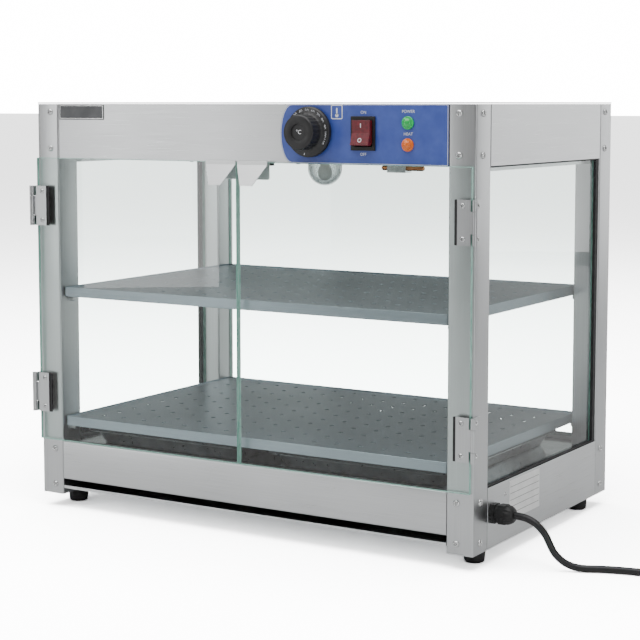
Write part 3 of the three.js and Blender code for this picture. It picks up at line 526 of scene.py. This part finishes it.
def flat_frame(half_x, half_y, corner, line, lift=0.08):
    """A rounded rectangle drawn as a line of ink."""
    inner = (half_x - line, half_y - line, max(corner - line, 0.1))
    outer = (half_x, half_y, corner)
    return stacked([(*outer, 0), (*outer, lift), (*inner, lift), (*inner, 0)], closed=True)


def flat_plate(half_x, half_y, corner, thickness, edge=0.2):
    """A thin plate with round corners and a softened upper edge, standing on z = 0."""
    outer, inner = (half_x, half_y, corner), (half_x - edge, half_y - edge, max(corner - edge, 0.05))
    return stacked([(*outer, 0), (*outer, thickness - edge), (*inner, thickness)])


# ---- camera
CAMERA_AT = (1004.9, -1648.1, 448.4)
CAMERA_YAW, CAMERA_PITCH = 31.44, -5.5
FOCAL_LENGTH, SENSOR_WIDTH = 94.84, 36.0
SHIFT = (-0.0048, -0.0844)


def add_camera():
    """A long lens ahead of the case and to its right, level with its top and pitched slightly down."""
    data = bpy.data.cameras.new("camera")
    data.lens, data.sensor_width = FOCAL_LENGTH, SENSOR_WIDTH
    data.shift_x, data.shift_y = SHIFT
    camera = linked("camera", data)
    camera.location = place(CAMERA_AT)
    camera.rotation_euler = (math.radians(90 + CAMERA_PITCH), 0, math.radians(CAMERA_YAW))
    bpy.context.scene.camera = camera


add_camera()

# ---- power cord
GLAND_X = case_box("cable_gland")[1][0]
GLAND_Y, GLAND_Z = middle("cable_gland")[1:]
FACET_SAG = 0.15  # keeps the lowest facets of the lying cord on the floor
COIL_CLEAR = 0.25  # between the coil and the ring that stands for it in the solids
TURN_SPACING = 1.003  # of a cord's thickness, from one turn to the next
CORD_Z = FLOOR + CORD_R + FACET_SAG
COIL_AT = middle("cord_coil")
COIL_SECTION = 2 * CORD_R
COIL_MEAN = case_box("cord_coil")[1][0] - COIL_AT[0] - COIL_SECTION - CORD_R - COIL_CLEAR
RUN_Y = COIL_AT[1] - COIL_MEAN - COIL_SECTION * math.cos(math.pi / 6)
PLUG_AT = (middle("power_plug")[0], case_box("power_plug")[0][1], middle("power_plug")[2])


def coil_points(turns=5.25, step=20.0):
    """Points every step degrees round the coil. In the coil's section the cord moves steadily round a circle of
    one cord's thickness in radius, 60 degrees a turn from the outer lower side inwards. Each turn lies one
    thickness from the one before, except where the cord comes in: there they press together by 0.11 mm."""
    wound = np.append(np.arange(step, 360 * turns, step), 360 * turns)
    section, angle = np.radians(-30 - wound / 6), np.radians(wound - 90)
    wide = TURN_SPACING * COIL_SECTION
    reach = COIL_MEAN + wide * np.cos(section)
    height = CORD_Z + COIL_SECTION + wide * np.sin(section)
    return np.column_stack([COIL_AT[0] + reach * np.cos(angle), COIL_AT[1] + reach * np.sin(angle), height])


def add_cord():
    """Out of the gland, down to the table, along it, round the coil and into the plug."""
    route = [
        (GLAND_X - 4, GLAND_Y, GLAND_Z), (GLAND_X + 1, GLAND_Y, GLAND_Z), (306, -128.5, GLAND_Z),
        (314.6, -128.4, GLAND_Z - 1.1), (322.6, -128.1, GLAND_Z - 4.3), (329.5, -127.6, GLAND_Z - 9.5),
        (335, -126.8, GLAND_Z - 16.2), (338.8, -125.8, GLAND_Z - 24.1), (342.6, -124.4, GLAND_Z - 32),
        (348.1, -122.4, GLAND_Z - 38.7), (355, -119.6, GLAND_Z - 43.9), (363, -116, CORD_Z + 1.1),
        (371.6, -112.2, CORD_Z), (384, -106.4, CORD_Z), (398, -101.4, CORD_Z), (414, -97.4, CORD_Z),
        (430, -95, CORD_Z), (446, -94.1, CORD_Z), (458, RUN_Y, CORD_Z + 0.3), (472, RUN_Y, CORD_Z + 1.3),
        (486, RUN_Y, CORD_Z + 2.8), (COIL_AT[0], RUN_Y, CORD_Z + COIL_SECTION / 2),
    ]
    x, y, z = PLUG_AT
    tail = [(x, y - 20, z + 0.2), (x, y - 10, z + 0.1), (x, y, z), (x, y + 3, z)]
    points = place(np.concatenate([np.array(route), coil_points(), np.array(tail)]))
    data = bpy.data.curves.new("mains_cord", "CURVE")
    data.dimensions, data.bevel_depth, data.bevel_resolution = "3D", CORD_R * MM, 5
    data.resolution_u, data.use_fill_caps = 5, True
    spline = data.splines.new("BEZIER")
    spline.bezier_points.add(len(points) - 1)
    spline.bezier_points.foreach_set("co", points.ravel())
    for point in spline.bezier_points:
        point.handle_left_type = point.handle_right_type = "AUTO"
    data.materials.append(CORD_PVC)
    return finished(linked("mains_cord", data), "case", ["power_cord", "cord_coil"])


def add_gland():
    """Thread and locknut inside the case. Outside it a hexagonal base, a clamping ring, a hexagonal nut with
    softened corners and a ribbed cap that tapers down to the cord. The closed parts overlap one another."""
    base = turned([(0, 0.2), (12.4, 0.2), (12.4, 4.4), (11.6, 5), (0, 5)], 48, hexagonal(19.4))
    ring = turned([(0, 4), (9.2, 4), (9.2, 12), (0, 12)])
    nut = turned([(0, 8), (11, 8), (12, 8.8), (12, 15), (11.2, 16), (0, 16)], 48, hexagonal(19.0, 0.85))
    ribs = lambda angle, r, h: r * (1 + 0.025 * np.cos(18 * angle))
    dome = [(0, 15), (9.9, 15), (9.9, 17.5), (9.2, 20), (7.8, 22.6), (6.2, 24.2), (4.4, 24.6), (0, 24.6)]
    cap = turned(dome, 72, ribs)
    thread, pitch = [(0, -12)], 1.5
    for k in range(8):
        thread += [(7.2, -12 + pitch * k), (7.9, -12 + pitch / 2 + pitch * k)]
    thread = turned([*thread, (7.2, 0.1), (7.2, 1), (0, 1)])
    chamfered = [(0, -5.4), (11.8, -5.4), (12.4, -4.8), (12.4, -2), (11.8, -1.5), (0, -1.5)]
    locknut = turned(chamfered, 48, hexagonal(19.4))
    at = (HALF_W, GLAND_Y, GLAND_Z)
    parts = [moved(part, "right", at) for part in (thread, locknut, base, ring, nut, cap)]
    return in_place_of("cable_gland", "cable_gland_outside", parts, SWITCH_NYLON)


def add_plug():
    """A moulded plug: ribbed tapering tail, waisted grip and a flat face, with two flat pins and a round one."""
    tail = [(0, 0), (4.6, 0)]
    for k in range(5):
        wider, further = 0.35 * k, 3.4 * k
        tail += [(5.0 + wider, 1 + further), (5.4 + wider, 2.2 + further), (4.9 + wider, 3.4 + further)]
    grip = [(8.2, 20), (11.6, 24), (12.9, 28), (12.4, 36), (12.2, 42), (12.9, 48), (12.6, 51), (11.4, 52), (0, 52)]
    moulding = moved(turned(tail + grip, 56), "rear", PLUG_AT)
    body = in_place_of("power_plug", "plug_moulding", [moulding], CORD_PVC)
    blade = stacked([(0.8, 3.2, 0.6, 51), (0.8, 3.2, 0.6, 66.5), (0.4, 2.6, 0.35, 68)])
    pins = [moved(shifted(blade, x, -4.0), "rear", PLUG_AT) for x in (-6.3, 6.3)]
    earth = turned([(0, 51), (2.4, 51), (2.4, 67), (1.7, 68.6), (0, 69)], 24)
    pins.append(moved(shifted(earth, y=6.5), "rear", PLUG_AT))
    return body, surface("plug_pins", pins, SCREW_STEEL, "case")


cord = add_cord()
gland = add_gland()
plug, plug_pins = add_plug()

# ---- frame
SHELF_TOPS = {level: case_box(f"{level}_shelf")[1][2] for level in ("upper", "lower")}
SHELF_H = SHELF_TOPS["upper"] - case_box("upper_shelf")[0][2]


def add_posts():
    """Square tube with rounded corners, open at the foot, with two turned shelf pegs on its inner face."""
    outer, inner = (POST_X / 2, POST_Y / 2, 1.9), (POST_X / 2 - SHEET, POST_Y / 2 - SHEET, 0.7)
    tube = stacked([(*outer, 0), (*outer, BODY_TOP), (*inner, BODY_TOP), (*inner, 0)], closed=True)
    peg = turned([(0, -1), (3, -1), (3, 6.2), (2.3, 7), (0, 7)], 24)
    for end, sy in ENDS.items():
        for side, sx in SIDES.items():
            x, y = sx * (HALF_W - POST_X / 2), sy * (HALF_D - POST_Y / 2)
            inwards = "left" if sx > 0 else "right"
            face = x - sx * POST_X / 2
            parts = [moved(tube, "up", (x, y, 0))]
            parts += [moved(peg, inwards, (face, y, top - SHELF_H - 3.3)) for top in SHELF_TOPS.values()]
            node = f"{end}_{side}_post"
            in_place_of(node, f"{node}_tube", parts, UPRIGHT)


def add_panels():
    """The header's and the base's folded panels, each bent from one sheet or from two that are welded. The two
    with openings, for the controls and for the cord, keep the CAD's shape."""
    t, web = SHEET / 2, 11 + SHEET / 2  # web: the depth that the second sheet stands back
    dressed("header_front_panel", HORIZONTAL, 0.5)
    dressed("base_right_panel", SIDEWAYS, 0.4)
    base_front = bent_sheet([(9, 17.5 + t), (t, 17.5 + t), (t, 62.8 - t), (9, 62.8 - t)], PANEL_X)
    part = moved(base_front, "front", (0, PANEL_FACE, 0))
    in_place_of("base_front_panel", "base_front_panel_sheet", [part], HORIZONTAL)
    web_up, web_down = HEADER_BOTTOM + 9 + t, BASE_TOP - 10.5 + t
    header = ([(t, BODY_TOP), (t, HEADER_BOTTOM)], [(SHEET, web_up), (web, web_up), (web, HEADER_BOTTOM - 6)])
    base = ([(t, 0), (t, BASE_TOP)], [(SHEET, web_down), (web, web_down), (web, BASE_TOP - 3.3)])
    places = {"left": (-HALF_W, 0, 0), "right": (HALF_W, 0, 0), "rear": (0, REAR, 0)}
    for facing, at in places.items():
        half = PANEL_X if facing == "rear" else PANEL_Y
        material = HORIZONTAL if facing == "rear" else SIDEWAYS
        for level, folds in (("header", header), ("base", base)):
            node = f"{level}_{facing}_panel"
            if node == "base_right_panel":
                continue
            parts = [moved(bent_sheet(fold, half), facing, at) for fold in folds]
            in_place_of(node, f"{node}_sheet", parts, material)


add_posts()
add_panels()
dressed("top_cover", HORIZONTAL, 0.6)
dressed("bottom_plate", BRIGHT, 0.3)
painted("ceiling_panel", BRIGHT)
painted("deck_plate", DECK_STEEL)


# ---- glass
def add_glass(node, through):
    """A pane with softened edges: clear on its two faces, green where its edges are ground."""
    pane = dressed(node, GLASS, 0.35)
    pane.data.materials.append(GLASS_EDGE)
    for face in pane.data.polygons:
        face.material_index = 0 if abs(face.normal["xyz".index(through)]) > 0.9 else 1
    pane.modifiers["worn_edges"].material = 1
    pane.visible_shadow = False


for side in SIDES:
    add_glass(f"{side}_glass", "x")
    add_glass(f"{side}_door_glass", "y")
    painted(f"{side}_glass_seal", RUBBER)
add_glass("rear_glass", "y")

# ---- shelves
SHELF_X = case_box("upper_shelf")[1][0]
SHELF_Y = [corner[1] for corner in case_box("upper_shelf")]
HOLE_R = 3.0
HOLES = (16, 11)
PITCH = (28.5, 27.8)
RIM = 1.0
RIM_OVERLAP = 0.1
PLATE_TOP, PLATE_BOTTOM = -1.6, -2.6  # below the rim's upper edge


def perforated_plate(low, high, bottom, top, sides=16):
    """A closed plate with a grid of round holes. Each cell is a ring from a square to its hole, on both faces and
    down the hole's wall; sides is a multiple of 8, so that the square has its corners. The margin round the cells
    is a lattice through the same edge points, with a wall down its outside."""
    angle = np.arange(sides) * 2 * math.pi / sides
    circle = np.stack([np.cos(angle), np.sin(angle)], axis=-1)
    pitch = np.array(PITCH)
    square = circle / np.abs(circle).max(axis=1, keepdims=True) * pitch / 2
    lines = [(np.arange(count) - (count - 1) / 2) * step for count, step in zip(HOLES, PITCH)]
    centres = np.stack(np.meshgrid(*lines), axis=-1).reshape(-1, 1, 2)
    rings = []
    for plan, z in ((square, top), (HOLE_R * circle, top), (HOLE_R * circle, bottom), (square, bottom)):
        spots = centres + plan
        rings.append(np.concatenate([spots, np.full((*spots.shape[:2], 1), z)], axis=-1))
    starts = np.arange(len(centres))[:, None, None] * len(rings) * sides
    faces = (grid_faces(len(rings), sides)[None] + starts).reshape(-1, 4).tolist()
    parts = [(np.stack(rings, axis=1).reshape(-1, 3), faces)]
    ticks = []
    for axis in (0, 1):
        edge = (lines[axis][:, None] + np.unique(np.round(square[:, axis], 6))).ravel()
        ticks.append(np.unique(np.round(np.concatenate([[low[axis]], edge, [high[axis]]]), 5)))
    nx, ny = len(ticks[0]), len(ticks[1])
    i, j = np.meshgrid(np.arange(nx - 1), np.arange(ny - 1), indexing="ij")
    outside = (i == 0) | (i == nx - 2) | (j == 0) | (j == ny - 2)
    i, j = i[outside], j[outside]
    quads = np.stack([i * ny + j, (i + 1) * ny + j, (i + 1) * ny + j + 1, i * ny + j + 1], axis=-1).tolist()
    plan = np.stack(np.meshgrid(*ticks, indexing="ij"), axis=-1).reshape(-1, 2)
    for z in (top, bottom):
        parts.append((at_height(plan, z), quads))
    x, y = ticks
    loop = np.concatenate([
        np.column_stack([x[:-1], np.full(nx - 1, y[0])]), np.column_stack([np.full(ny - 1, x[-1]), y[:-1]]),
        np.column_stack([x[:0:-1], np.full(nx - 1, y[-1])]), np.column_stack([np.full(ny - 1, x[0]), y[:0:-1]]),
    ])
    walls = [at_height(loop, z) for z in (bottom, top)]
    parts.append((np.concatenate(walls), grid_faces(2, len(loop)).tolist()))
    return parts


def shelf_rim():
    """A folded rim: a rounded rectangular loop whose upright wall is RIM thick with softened edges."""
    half = (SHELF_Y[1] - SHELF_Y[0]) / 2
    section = [(0, -SHELF_H + 0.3), (0, -0.3), (0.3, 0), (RIM - 0.3, 0), (RIM, -0.3),
               (RIM, -SHELF_H + 0.3), (RIM - 0.3, -SHELF_H), (0.3, -SHELF_H)]
    loop = stacked([(SHELF_X - inset, half - inset, 2.2 - inset, z) for inset, z in section], closed=True)
    return shifted(loop, y=(SHELF_Y[0] + SHELF_Y[1]) / 2)


def add_shelves():
    """A perforated plate a little below the top of a folded rim, which its edge enters by RIM_OVERLAP."""
    edge = RIM - RIM_OVERLAP
    for level, top in SHELF_TOPS.items():
        low, high = (edge - SHELF_X, SHELF_Y[0] + edge), (SHELF_X - edge, SHELF_Y[1] - edge)
        plate = perforated_plate(low, high, PLATE_BOTTOM, PLATE_TOP)
        parts = [moved(part, "up", (0, 0, top)) for part in [*plate, shelf_rim()]]
        node = f"{level}_shelf"
        in_place_of(node, f"{node}_pan", parts, SHELF_STEEL)


add_shelves()

# ---- water trays
TRAY_AT = middle("right_tray")
TRAY_HALF = case_box("right_tray")[1] - TRAY_AT
DECK_TOP = case_box("deck_plate")[1][2]


def add_trays():
    """A pressed pan: floor, sloping walls and a rolled rim, as rounded rectangles at (inset, height, corner)."""
    levels = [
        (16.0, 0.4, 14), (13.6, 1.2, 15), (12.4, 3.0, 16), (7.0, 13.6, 19), (5.8, 15.2, 20), (3.4, 15.9, 18),
        (0.9, 15.2, 17), (0.0, 15.9, 16), (0.3, 17.0, 16), (1.4, 17.6, 16), (4.0, 17.5, 18), (6.2, 16.9, 19),
        (8.0, 14.4, 18), (13.2, 4.2, 15), (14.6, 2.2, 14), (17.0, 1.4, 13),
    ]
    pan = stacked([(TRAY_HALF[0] - i, TRAY_HALF[1] - i, r, z, 10) for i, z, r in levels])
    for side, sx in SIDES.items():
        node = f"{side}_tray"
        part = moved(pan, "up", (sx * TRAY_AT[0], TRAY_AT[1], DECK_TOP))
        in_place_of(node, f"{node}_pan", [part], TRAY_STEEL_PAINTED_SHADE, 50)


add_trays()


# ---- fasteners
# Pan heads, as (radius, height).
FRAME_HEAD, HINGE_HEAD, HEADER_HEAD, PANEL_HEAD = (3.6, 2.3), (2.8, 1.4), (2.6, 1.4), (2.1, 1.1)
CROSS_HALF, CROSS_REACH = 0.15, 0.58  # shares of the radius: half a bar's width, and how far it goes
CROSS_DEPTH = 1.7


def screw_head(radius, height, rings=12, sides=40):
    """A pan head. Its height falls with the fourth power of the radius, and a cross is pressed into it where
    one of two crossing bars covers the point, with steep smooth sides. The cross has one depth on every
    head, so on all but the frame's heads it goes through the back, by 0.03 to 0.32 mm."""
    r = np.linspace(0, 1, rings)[:, None]
    angle = np.linspace(0, 2 * math.pi, sides, endpoint=False)[None, :]
    x, y = r * np.cos(angle), r * np.sin(angle)
    near, far = np.minimum(abs(x), abs(y)), np.maximum(abs(x), abs(y))
    inside = 1 / (1 + np.exp((near - CROSS_HALF) * 50)) / (1 + np.exp((far - CROSS_REACH) * 40))
    z = height * (1 - 0.7 * r**4) - CROSS_DEPTH * inside
    crown = np.stack([radius * x, radius * y, z], axis=-1)
    skirt = crown[-1] * np.array([1, 1, 0]) - np.array([0, 0, 0.3])
    return lofted([*crown, skirt])


def add_screws(name, spots, body, head=FRAME_HEAD):
    """One piece of screw heads, each at (facing, place), every one left at a different turn."""
    points, faces = screw_head(*head)
    turns = np.random.default_rng(7).uniform(0, math.pi, len(spots))
    parts = [moved((spun(points, a), faces), facing, at) for (facing, at), a in zip(spots, turns)]
    surface(name, parts, SCREW_STEEL, body, (), 50)


def frame_screw_spots():
    """Four on each outer face of each post, at the header and the base."""
    heights = (BODY_TOP - 9.2, HEADER_BOTTOM + 11, BASE_TOP - 10.8, 11.2)
    across, ahead, behind = HALF_W - 18.7, FRONT + 15.2, REAR - 19.5
    spots = []
    for side, sx in SIDES.items():
        for z in heights:
            spots += [("front", (sx * across, FRONT, z)), ("rear", (sx * across, REAR, z))]
            spots += [(side, (sx * HALF_W, y, z)) for y in (ahead, behind)]
    return spots


add_screws("frame_screws", frame_screw_spots(), "case")
under_header = [("down", (x, FRONT + 8.2, HEADER_BOTTOM)) for x in (-204.9, -68.0, 68.0, 204.9)]
add_screws("header_underside_screws", under_header, "case", HEADER_HEAD)
add_screws("base_panel_screw", [("right", (HALF_W, 40.5 - PANEL_Y, BASE_TOP - 13.9))], "case", PANEL_HEAD)


# ---- doors
def add_hinges():
    """Each leaf with softened edges, a rubber pad between it and the glass, and its four screws."""
    pad = flat_plate(9.0, 22.5, 1.0, 0.8)
    for side, sx in SIDES.items():
        body = f"{side}_door"
        on_door, on_post = [], []
        for level, z in HINGE_Z.items():
            dressed(f"{level}_{side}_post_leaf", UPRIGHT, 0.25)
            dressed(f"{level}_{side}_door_leaf", UPRIGHT, 0.25)
            at = (sx * 266.2, DOOR_FRONT, z)
            surface(f"{level}_{side}_hinge_pad", [moved(pad, "front", at)], RUBBER, body)
            for dz in (-16.4, 16.4):
                on_door.append(("front", (sx * 266.6, DOOR_FRONT - 2, z + dz)))
                on_post.append((side, (sx * (HALF_W + 1.5), -172.3, z + dz)))
        add_screws(f"{side}_door_hinge_screws", on_door, body, HINGE_HEAD)
        add_screws(f"{side}_post_hinge_screws", on_post, "case", HINGE_HEAD)


add_hinges()
for side in SIDES:
    dressed(f"{side}_door_pull", PULL_STEEL, 0.2)
painted("magnetic_catch", SWITCH_NYLON)

# ---- controls
KNOB_AT = middle("thermostat_knob")[::2]
SWITCH_AT = middle("switch_housing")[::2]
LAMP_X = middle("power_lens")[0]
LAMP_Z = {name: middle(f"{name}_lens")[2] for name in ("power", "heat")}
FILM_LEFT = case_box("control_overlay")[0][0]
FILM_END = 14.0  # the half ellipse's reach
INK = 0.08
SIGN_AT = (119.75, 439.95)
OUT = FRONT - 0.3  # face of what is mounted on the film


def on_film(part, x, z, out=0.0):
    """A part that faces the front, at (x, z) on the film."""
    return moved(part, "front", (x, FRONT - out, z))


def film_outline(inset=0.0, steps=24):
    """The film's outline: square at the right, half an ellipse at the left."""
    low, high = HEADER_BOTTOM + 0.2 + inset, BODY_TOP - 0.2 - inset
    angle = np.linspace(math.pi / 2, math.pi * 1.5, steps)
    x = FILM_LEFT + FILM_END + (FILM_END - inset) * np.cos(angle)
    z = (low + high) / 2 + (high - low) / 2 * np.sin(angle)
    return np.concatenate([[(PANEL_X - inset, low), (PANEL_X - inset, high)], np.column_stack([x, z])])


def thermometer():
    """The sign beside the knob: a framed thermometer, a thin stem on a round bulb."""
    stem = stacked([(0.8, 3.6, 0.8, z) for z in (0, INK)])
    bulb = turned([(0, 0), (1.9, 0), (1.9, INK), (0, INK)], 28)
    parts = (flat_frame(6.75, 7.25, 1.6, 0.9), shifted(stem, y=0.6), shifted(bulb, y=-3.4))
    return [on_film(part, *SIGN_AT) for part in parts]


def add_film():
    """The printed film: blue, with a pale line round its rounded end, signs and plain function words."""
    dressed("control_overlay", BLUE_FILM, 0.1)
    outer, inner = at_height(film_outline(0.5), 0), at_height(film_outline(1.0), 0)
    lift = np.array([0, 0, 0.05])
    border = lofted([outer, outer + lift, inner + lift, inner], closed=True)
    words = [("ON", 151.0, 439.6), ("OFF", 151.0, 397.4), ("POWER", 202.4, 440.6), ("HEAT", 202.4, 418.3)]
    parts = [on_film(border, 0, 0), *thermometer()]
    parts += [on_film(lettering(word, 4.2), x, z, 0.05) for word, x, z in words]
    surface("control_film_print", parts, WHITE_INK, "case")


def add_knob():
    """A phenolic knob: smooth skirt with the scale, and a cap whose sides are shallow flutes."""
    face = 23.7  # the cap's height above the skirt's back
    first, step, pointer = -38.0, 19.0, 187.0  # degrees round the skirt from its top

    def fluted(angle, r, h):
        grip = (h > 8) & (h < face - 1.5) & (r > 15)
        return r - 0.45 * grip * (0.5 + 0.5 * np.cos(24 * angle))

    profile = [
        (0, 10.5), (3.4, 10.5), (3.4, 1.0), (23.4, 1.0), (25.4, 0), (26, 0.8), (26, 3.6), (25.5, 4.8),
        (24.4, 5.5), (19.4, 6.9), (18.3, 8.2), (18.1, 9.2), (18.0, 14), (17.9, 21.0), (17.7, 22.2),
        (17.1, 23.2), (16.0, face), (9.4, face), (8.8, 23.4), (8.5, 22.4), (8.3, 21.9), (0, 21.7),
    ]
    at = (KNOB_AT[0], FRONT - 1.3, KNOB_AT[1])
    cap = moved(turned(profile, 192, fluted), "front", at)
    in_place_of("thermostat_knob", "knob_moulding", [cap], PHENOLIC, 40)
    slope = math.atan2(1.4, 5.0)
    marks = [(*lettering(str(30 + 10 * k), 4.7), first + step * k) for k in range(9)]
    tick = stacked([(0.5, 1.7, 0.4, z) for z in (0, INK)])
    parts = []
    for points, faces, degrees in [*marks, (*tick, pointer)]:
        on_skirt = spun(points, slope, "x") + np.array([0, 22.0, 6.3])
        parts.append(moved((spun(on_skirt, math.radians(-degrees)), faces), "front", at))
    parts.append(moved(shifted(lettering("°C", 6.0), z=21.85), "front", at))
    surface("knob_numerals", parts, WHITE_INK, "knob")


def add_switch():
    """A bezel with softened edges, and a translucent paddle marked I and O."""
    dressed("switch_housing", SWITCH_NYLON, 0.5)
    dressed("switch_rocker", ROCKER_RED, 0.4)
    tilt = math.radians(8)  # how far the paddle leans at rest: half of its travel
    half, drop = 12.7, 2.3  # each half of the paddle falls away from the ridge by drop
    pivot_y = FRONT - 1.5
    parts = []
    bar = stacked([(0.45, 2.2, 0.4, z) for z in (0, 0.1)])
    section = ((2.3, 0), (2.3, 0.1), (1.5, 0.1), (1.5, 0))
    circle = lofted([turned([spot, spot], 28)[0][:28] for spot in section], closed=True)
    for (points, faces), height in ((bar, 7.2), (circle, -7.6)):
        fall = math.atan2(drop, half) * (-1 if height > 0 else 1)
        out = 4.6 + abs(height) * drop / half + 0.06
        on_face = spun(points, -fall, "x") + np.array([0, height, out])
        parts.append(moved((spun(on_face, -tilt, "x"), faces), "front", (SWITCH_AT[0], pivot_y, SWITCH_AT[1])))
    surface("rocker_marks", parts, WHITE_INK, "rocker")


def add_lenses():
    """Flanged domes with a smooth crown, and a barrel behind through the panel."""
    a = np.linspace(0, math.pi / 2, 10)
    dome = [(4.9 * math.cos(t), 2.0 + 3.8 * math.sin(t)) for t in a[:-1]] + [(0, 5.8)]
    profile = [(0, -9), (3.6, -9), (4, -8.4), (4, 0), (6.6, 0), (6.6, 1.2), (6.2, 1.7), (5.3, 1.9), *dome]
    for (name, z), material in zip(LAMP_Z.items(), (GREEN_LENS, AMBER_LENS)):
        node = f"{name}_lens"
        part = moved(turned(profile, 40), "front", (LAMP_X, OUT, z))
        in_place_of(node, f"{node}_dome", [part], material)


add_film()
add_knob()
add_switch()
add_lenses()


# ---- lamp, probe, hidden parts
def add_lamp():
    """Steatite holder, a round-ended glass cover with a thin wall, and a small bulb."""
    top = case_box("ceiling_panel")[0][2] - GAP
    holder = [(0, -4), (21.6, -4), (23, -3), (23, -0.4), (22.4, 0), (15, 0), (15, 14), (0, 14)]
    a = np.linspace(0, math.pi / 2, 14)
    outer, inner, low = 19.5, 17.9, -32.7
    bowl = lambda radius: [(radius * math.sin(t), low + outer - radius * math.cos(t)) for t in a]
    cover = [*bowl(outer), (outer, -4.3), (inner, -4.3), *bowl(inner)[::-1]]
    bulb = [(0, -27.3), (2.6, -27.0), (5.2, -25.6), (7.2, -23.2), (8, -20), (8, -16), (7.2, -13), (5.6, -10.4),
            (5.5, -4.3), (0, -4.3)]
    for node, name, profile, sides, material in (
        ("lamp_holder", "lamp_holder_ring", holder, 56, CERAMIC),
        ("lamp_cover", "lamp_cover_glass", cover, 56, LAMP_GLASS),
        ("lamp_bulb", "lamp_bulb_glass", bulb, 36, WARM_GLASS),
    ):
        in_place_of(node, name, [moved(turned(profile, sides), "up", (0, 0, top))], material)


def add_feet():
    """Moulded rubber feet: a tapered pad with a rolled tread and a moulding groove."""
    profile = [(0, 0.6), (5.5, 0.6), (6.3, 0), (9.0, 0), (10.2, 0.8), (10.7, 2.2), (11.3, 8.5), (11.1, 9.3),
               (11.5, 10), (12, 14.6), (11.6, 15.7), (7, 15.7), (7, 22.7), (0, 22.7)]
    for end, sy in ENDS.items():
        for side, sx in SIDES.items():
            node = f"{end}_{side}_foot"
            part = moved(turned(profile, 56), "up", (*middle(node)[:2], FLOOR))
            in_place_of(node, f"{node}_pad", [part], RUBBER)


def add_probe():
    """A round-nosed copper bulb, lying along x."""
    node = "thermostat_probe"
    bulb = turned([(0, 0), (1.8, 0.2), (2.8, 1.2), (3, 2.6), (3, 51), (2.2, 53), (0, 53)], 32)
    at = (case_box(node)[0][0], *middle(node)[1:])
    in_place_of(node, "probe_bulb", [moved(bulb, "right", at)], COPPER)


add_lamp()
add_feet()
add_probe()
dressed("probe_bracket", BRIGHT, 0.3)
dressed("thermostat_body", CAST_ZINC, 0.6)
dressed("heating_element", SHEATH)
dressed("terminal_block", CERAMIC, 0.8)


# ---- plates
def add_name_plate():
    """A blank dark plate with a bright line round it."""
    at = (33.2 - PANEL_X, PANEL_FACE, BODY_TOP - 9.2)
    surface("blank_name_plate", [moved(flat_plate(32, 8.5, 0.8, 0.6), "front", at)], PLATE_LACQUER, "case")
    line = flat_frame(30.8, 7.3, 0.5, 0.45)
    surface("name_plate_line", [moved(shifted(line, z=0.6), "front", at)], SCREW_STEEL, "case")


def add_rating_plate():
    """A blank foil plate with ruled lines."""
    at = (HALF_W, 87.7 - PANEL_Y, BASE_TOP - 23)
    surface("blank_rating_plate", [moved(flat_plate(37.5, 20.7, 0.6, 0.25, 0.1), "right", at)], LABEL_FOIL, "case")
    rule = flat_plate(35.5, 0.22, 0.2, 0.05, 0.02)
    rules = [moved(shifted(rule, y=y, z=0.25), "right", at) for y in np.linspace(-14, 14, 5)]
    surface("rating_plate_rules", rules, DARK_INK, "case")


add_name_plate()
add_rating_plate()


# ---- stage
def soft_light(name, at_mm, size_mm, power, aim_mm=(0, 0, 200)):
    """A rectangular area light that looks at the middle of the case."""
    data = bpy.data.lights.new(name, "AREA")
    data.shape, data.size, data.size_y, data.energy = "RECTANGLE", size_mm[0] * MM, size_mm[1] * MM, power
    light = linked(name, data)
    light.location = place(at_mm)
    towards = Vector(place(aim_mm)) - light.location
    light.rotation_euler = towards.to_track_quat("-Z", "Y").to_euler()


def seen_or_lit(tree, seen, lit):
    """One value where the camera looks, another for the light that reaches the object."""
    path = add(tree, "ShaderNodeLightPath").outputs["Is Camera Ray"]
    return add(tree, "ShaderNodeMapRange", {"Value": path, "To Min": lit, "To Max": seen}).outputs["Result"]


# Seen by the camera, and as they light the object.
FLOOR_TONE, SURROUND_TONE = (9.0, 0.75), (16.0, 0.3)
FLOOR_HALF = 60.0  # metres
LIGHTS = [  # name, place and size in millimetres, watts
    ("front_strip", (-1500, -2000, 700), (340, 2400), 13),
    ("top_soft", (0, -400, 2200), (2600, 2400), 75),
    ("right_fill", (1300, 2700, 900), (1500, 1800), 16),
    ("corner_strip", (2517, -1280, 500), (260, 2000), 14),
]


def add_stage():
    """A pale floor that runs into an even pale surround, and soft lights. Both look nearly white
    to the camera and light the object less brightly, so the metal keeps its tone."""
    mesh = bpy.data.meshes.new("floor")
    half = FLOOR_HALF
    mesh.from_pydata([(-half, -half, 0), (half, -half, 0), (half, half, 0), (-half, half, 0)], [], [(0, 1, 2, 3)])
    floor = linked("floor", mesh)
    material, tree = blank("matt_floor")
    albedo = seen_or_lit(tree, *FLOOR_TONE)
    paint = add(tree, "ShaderNodeCombineColor", {"Red": albedo, "Green": albedo, "Blue": albedo}).outputs[0]
    matt = add(tree, "ShaderNodeBsdfDiffuse", {"Color": paint}).outputs[0]
    add(tree, "ShaderNodeOutputMaterial", {"Surface": matt})
    mesh.materials.append(material)
    world = bpy.data.worlds.new("studio")
    bpy.context.scene.world = world
    world.use_nodes = True
    tree = world.node_tree
    tree.nodes.clear()
    glow = {"Color": linear("#FFFFFF"), "Strength": seen_or_lit(tree, *SURROUND_TONE)}
    add(tree, "ShaderNodeOutputWorld", {"Surface": add(tree, "ShaderNodeBackground", glow).outputs[0]})
    for light in LIGHTS:
        soft_light(*light)


add_stage()
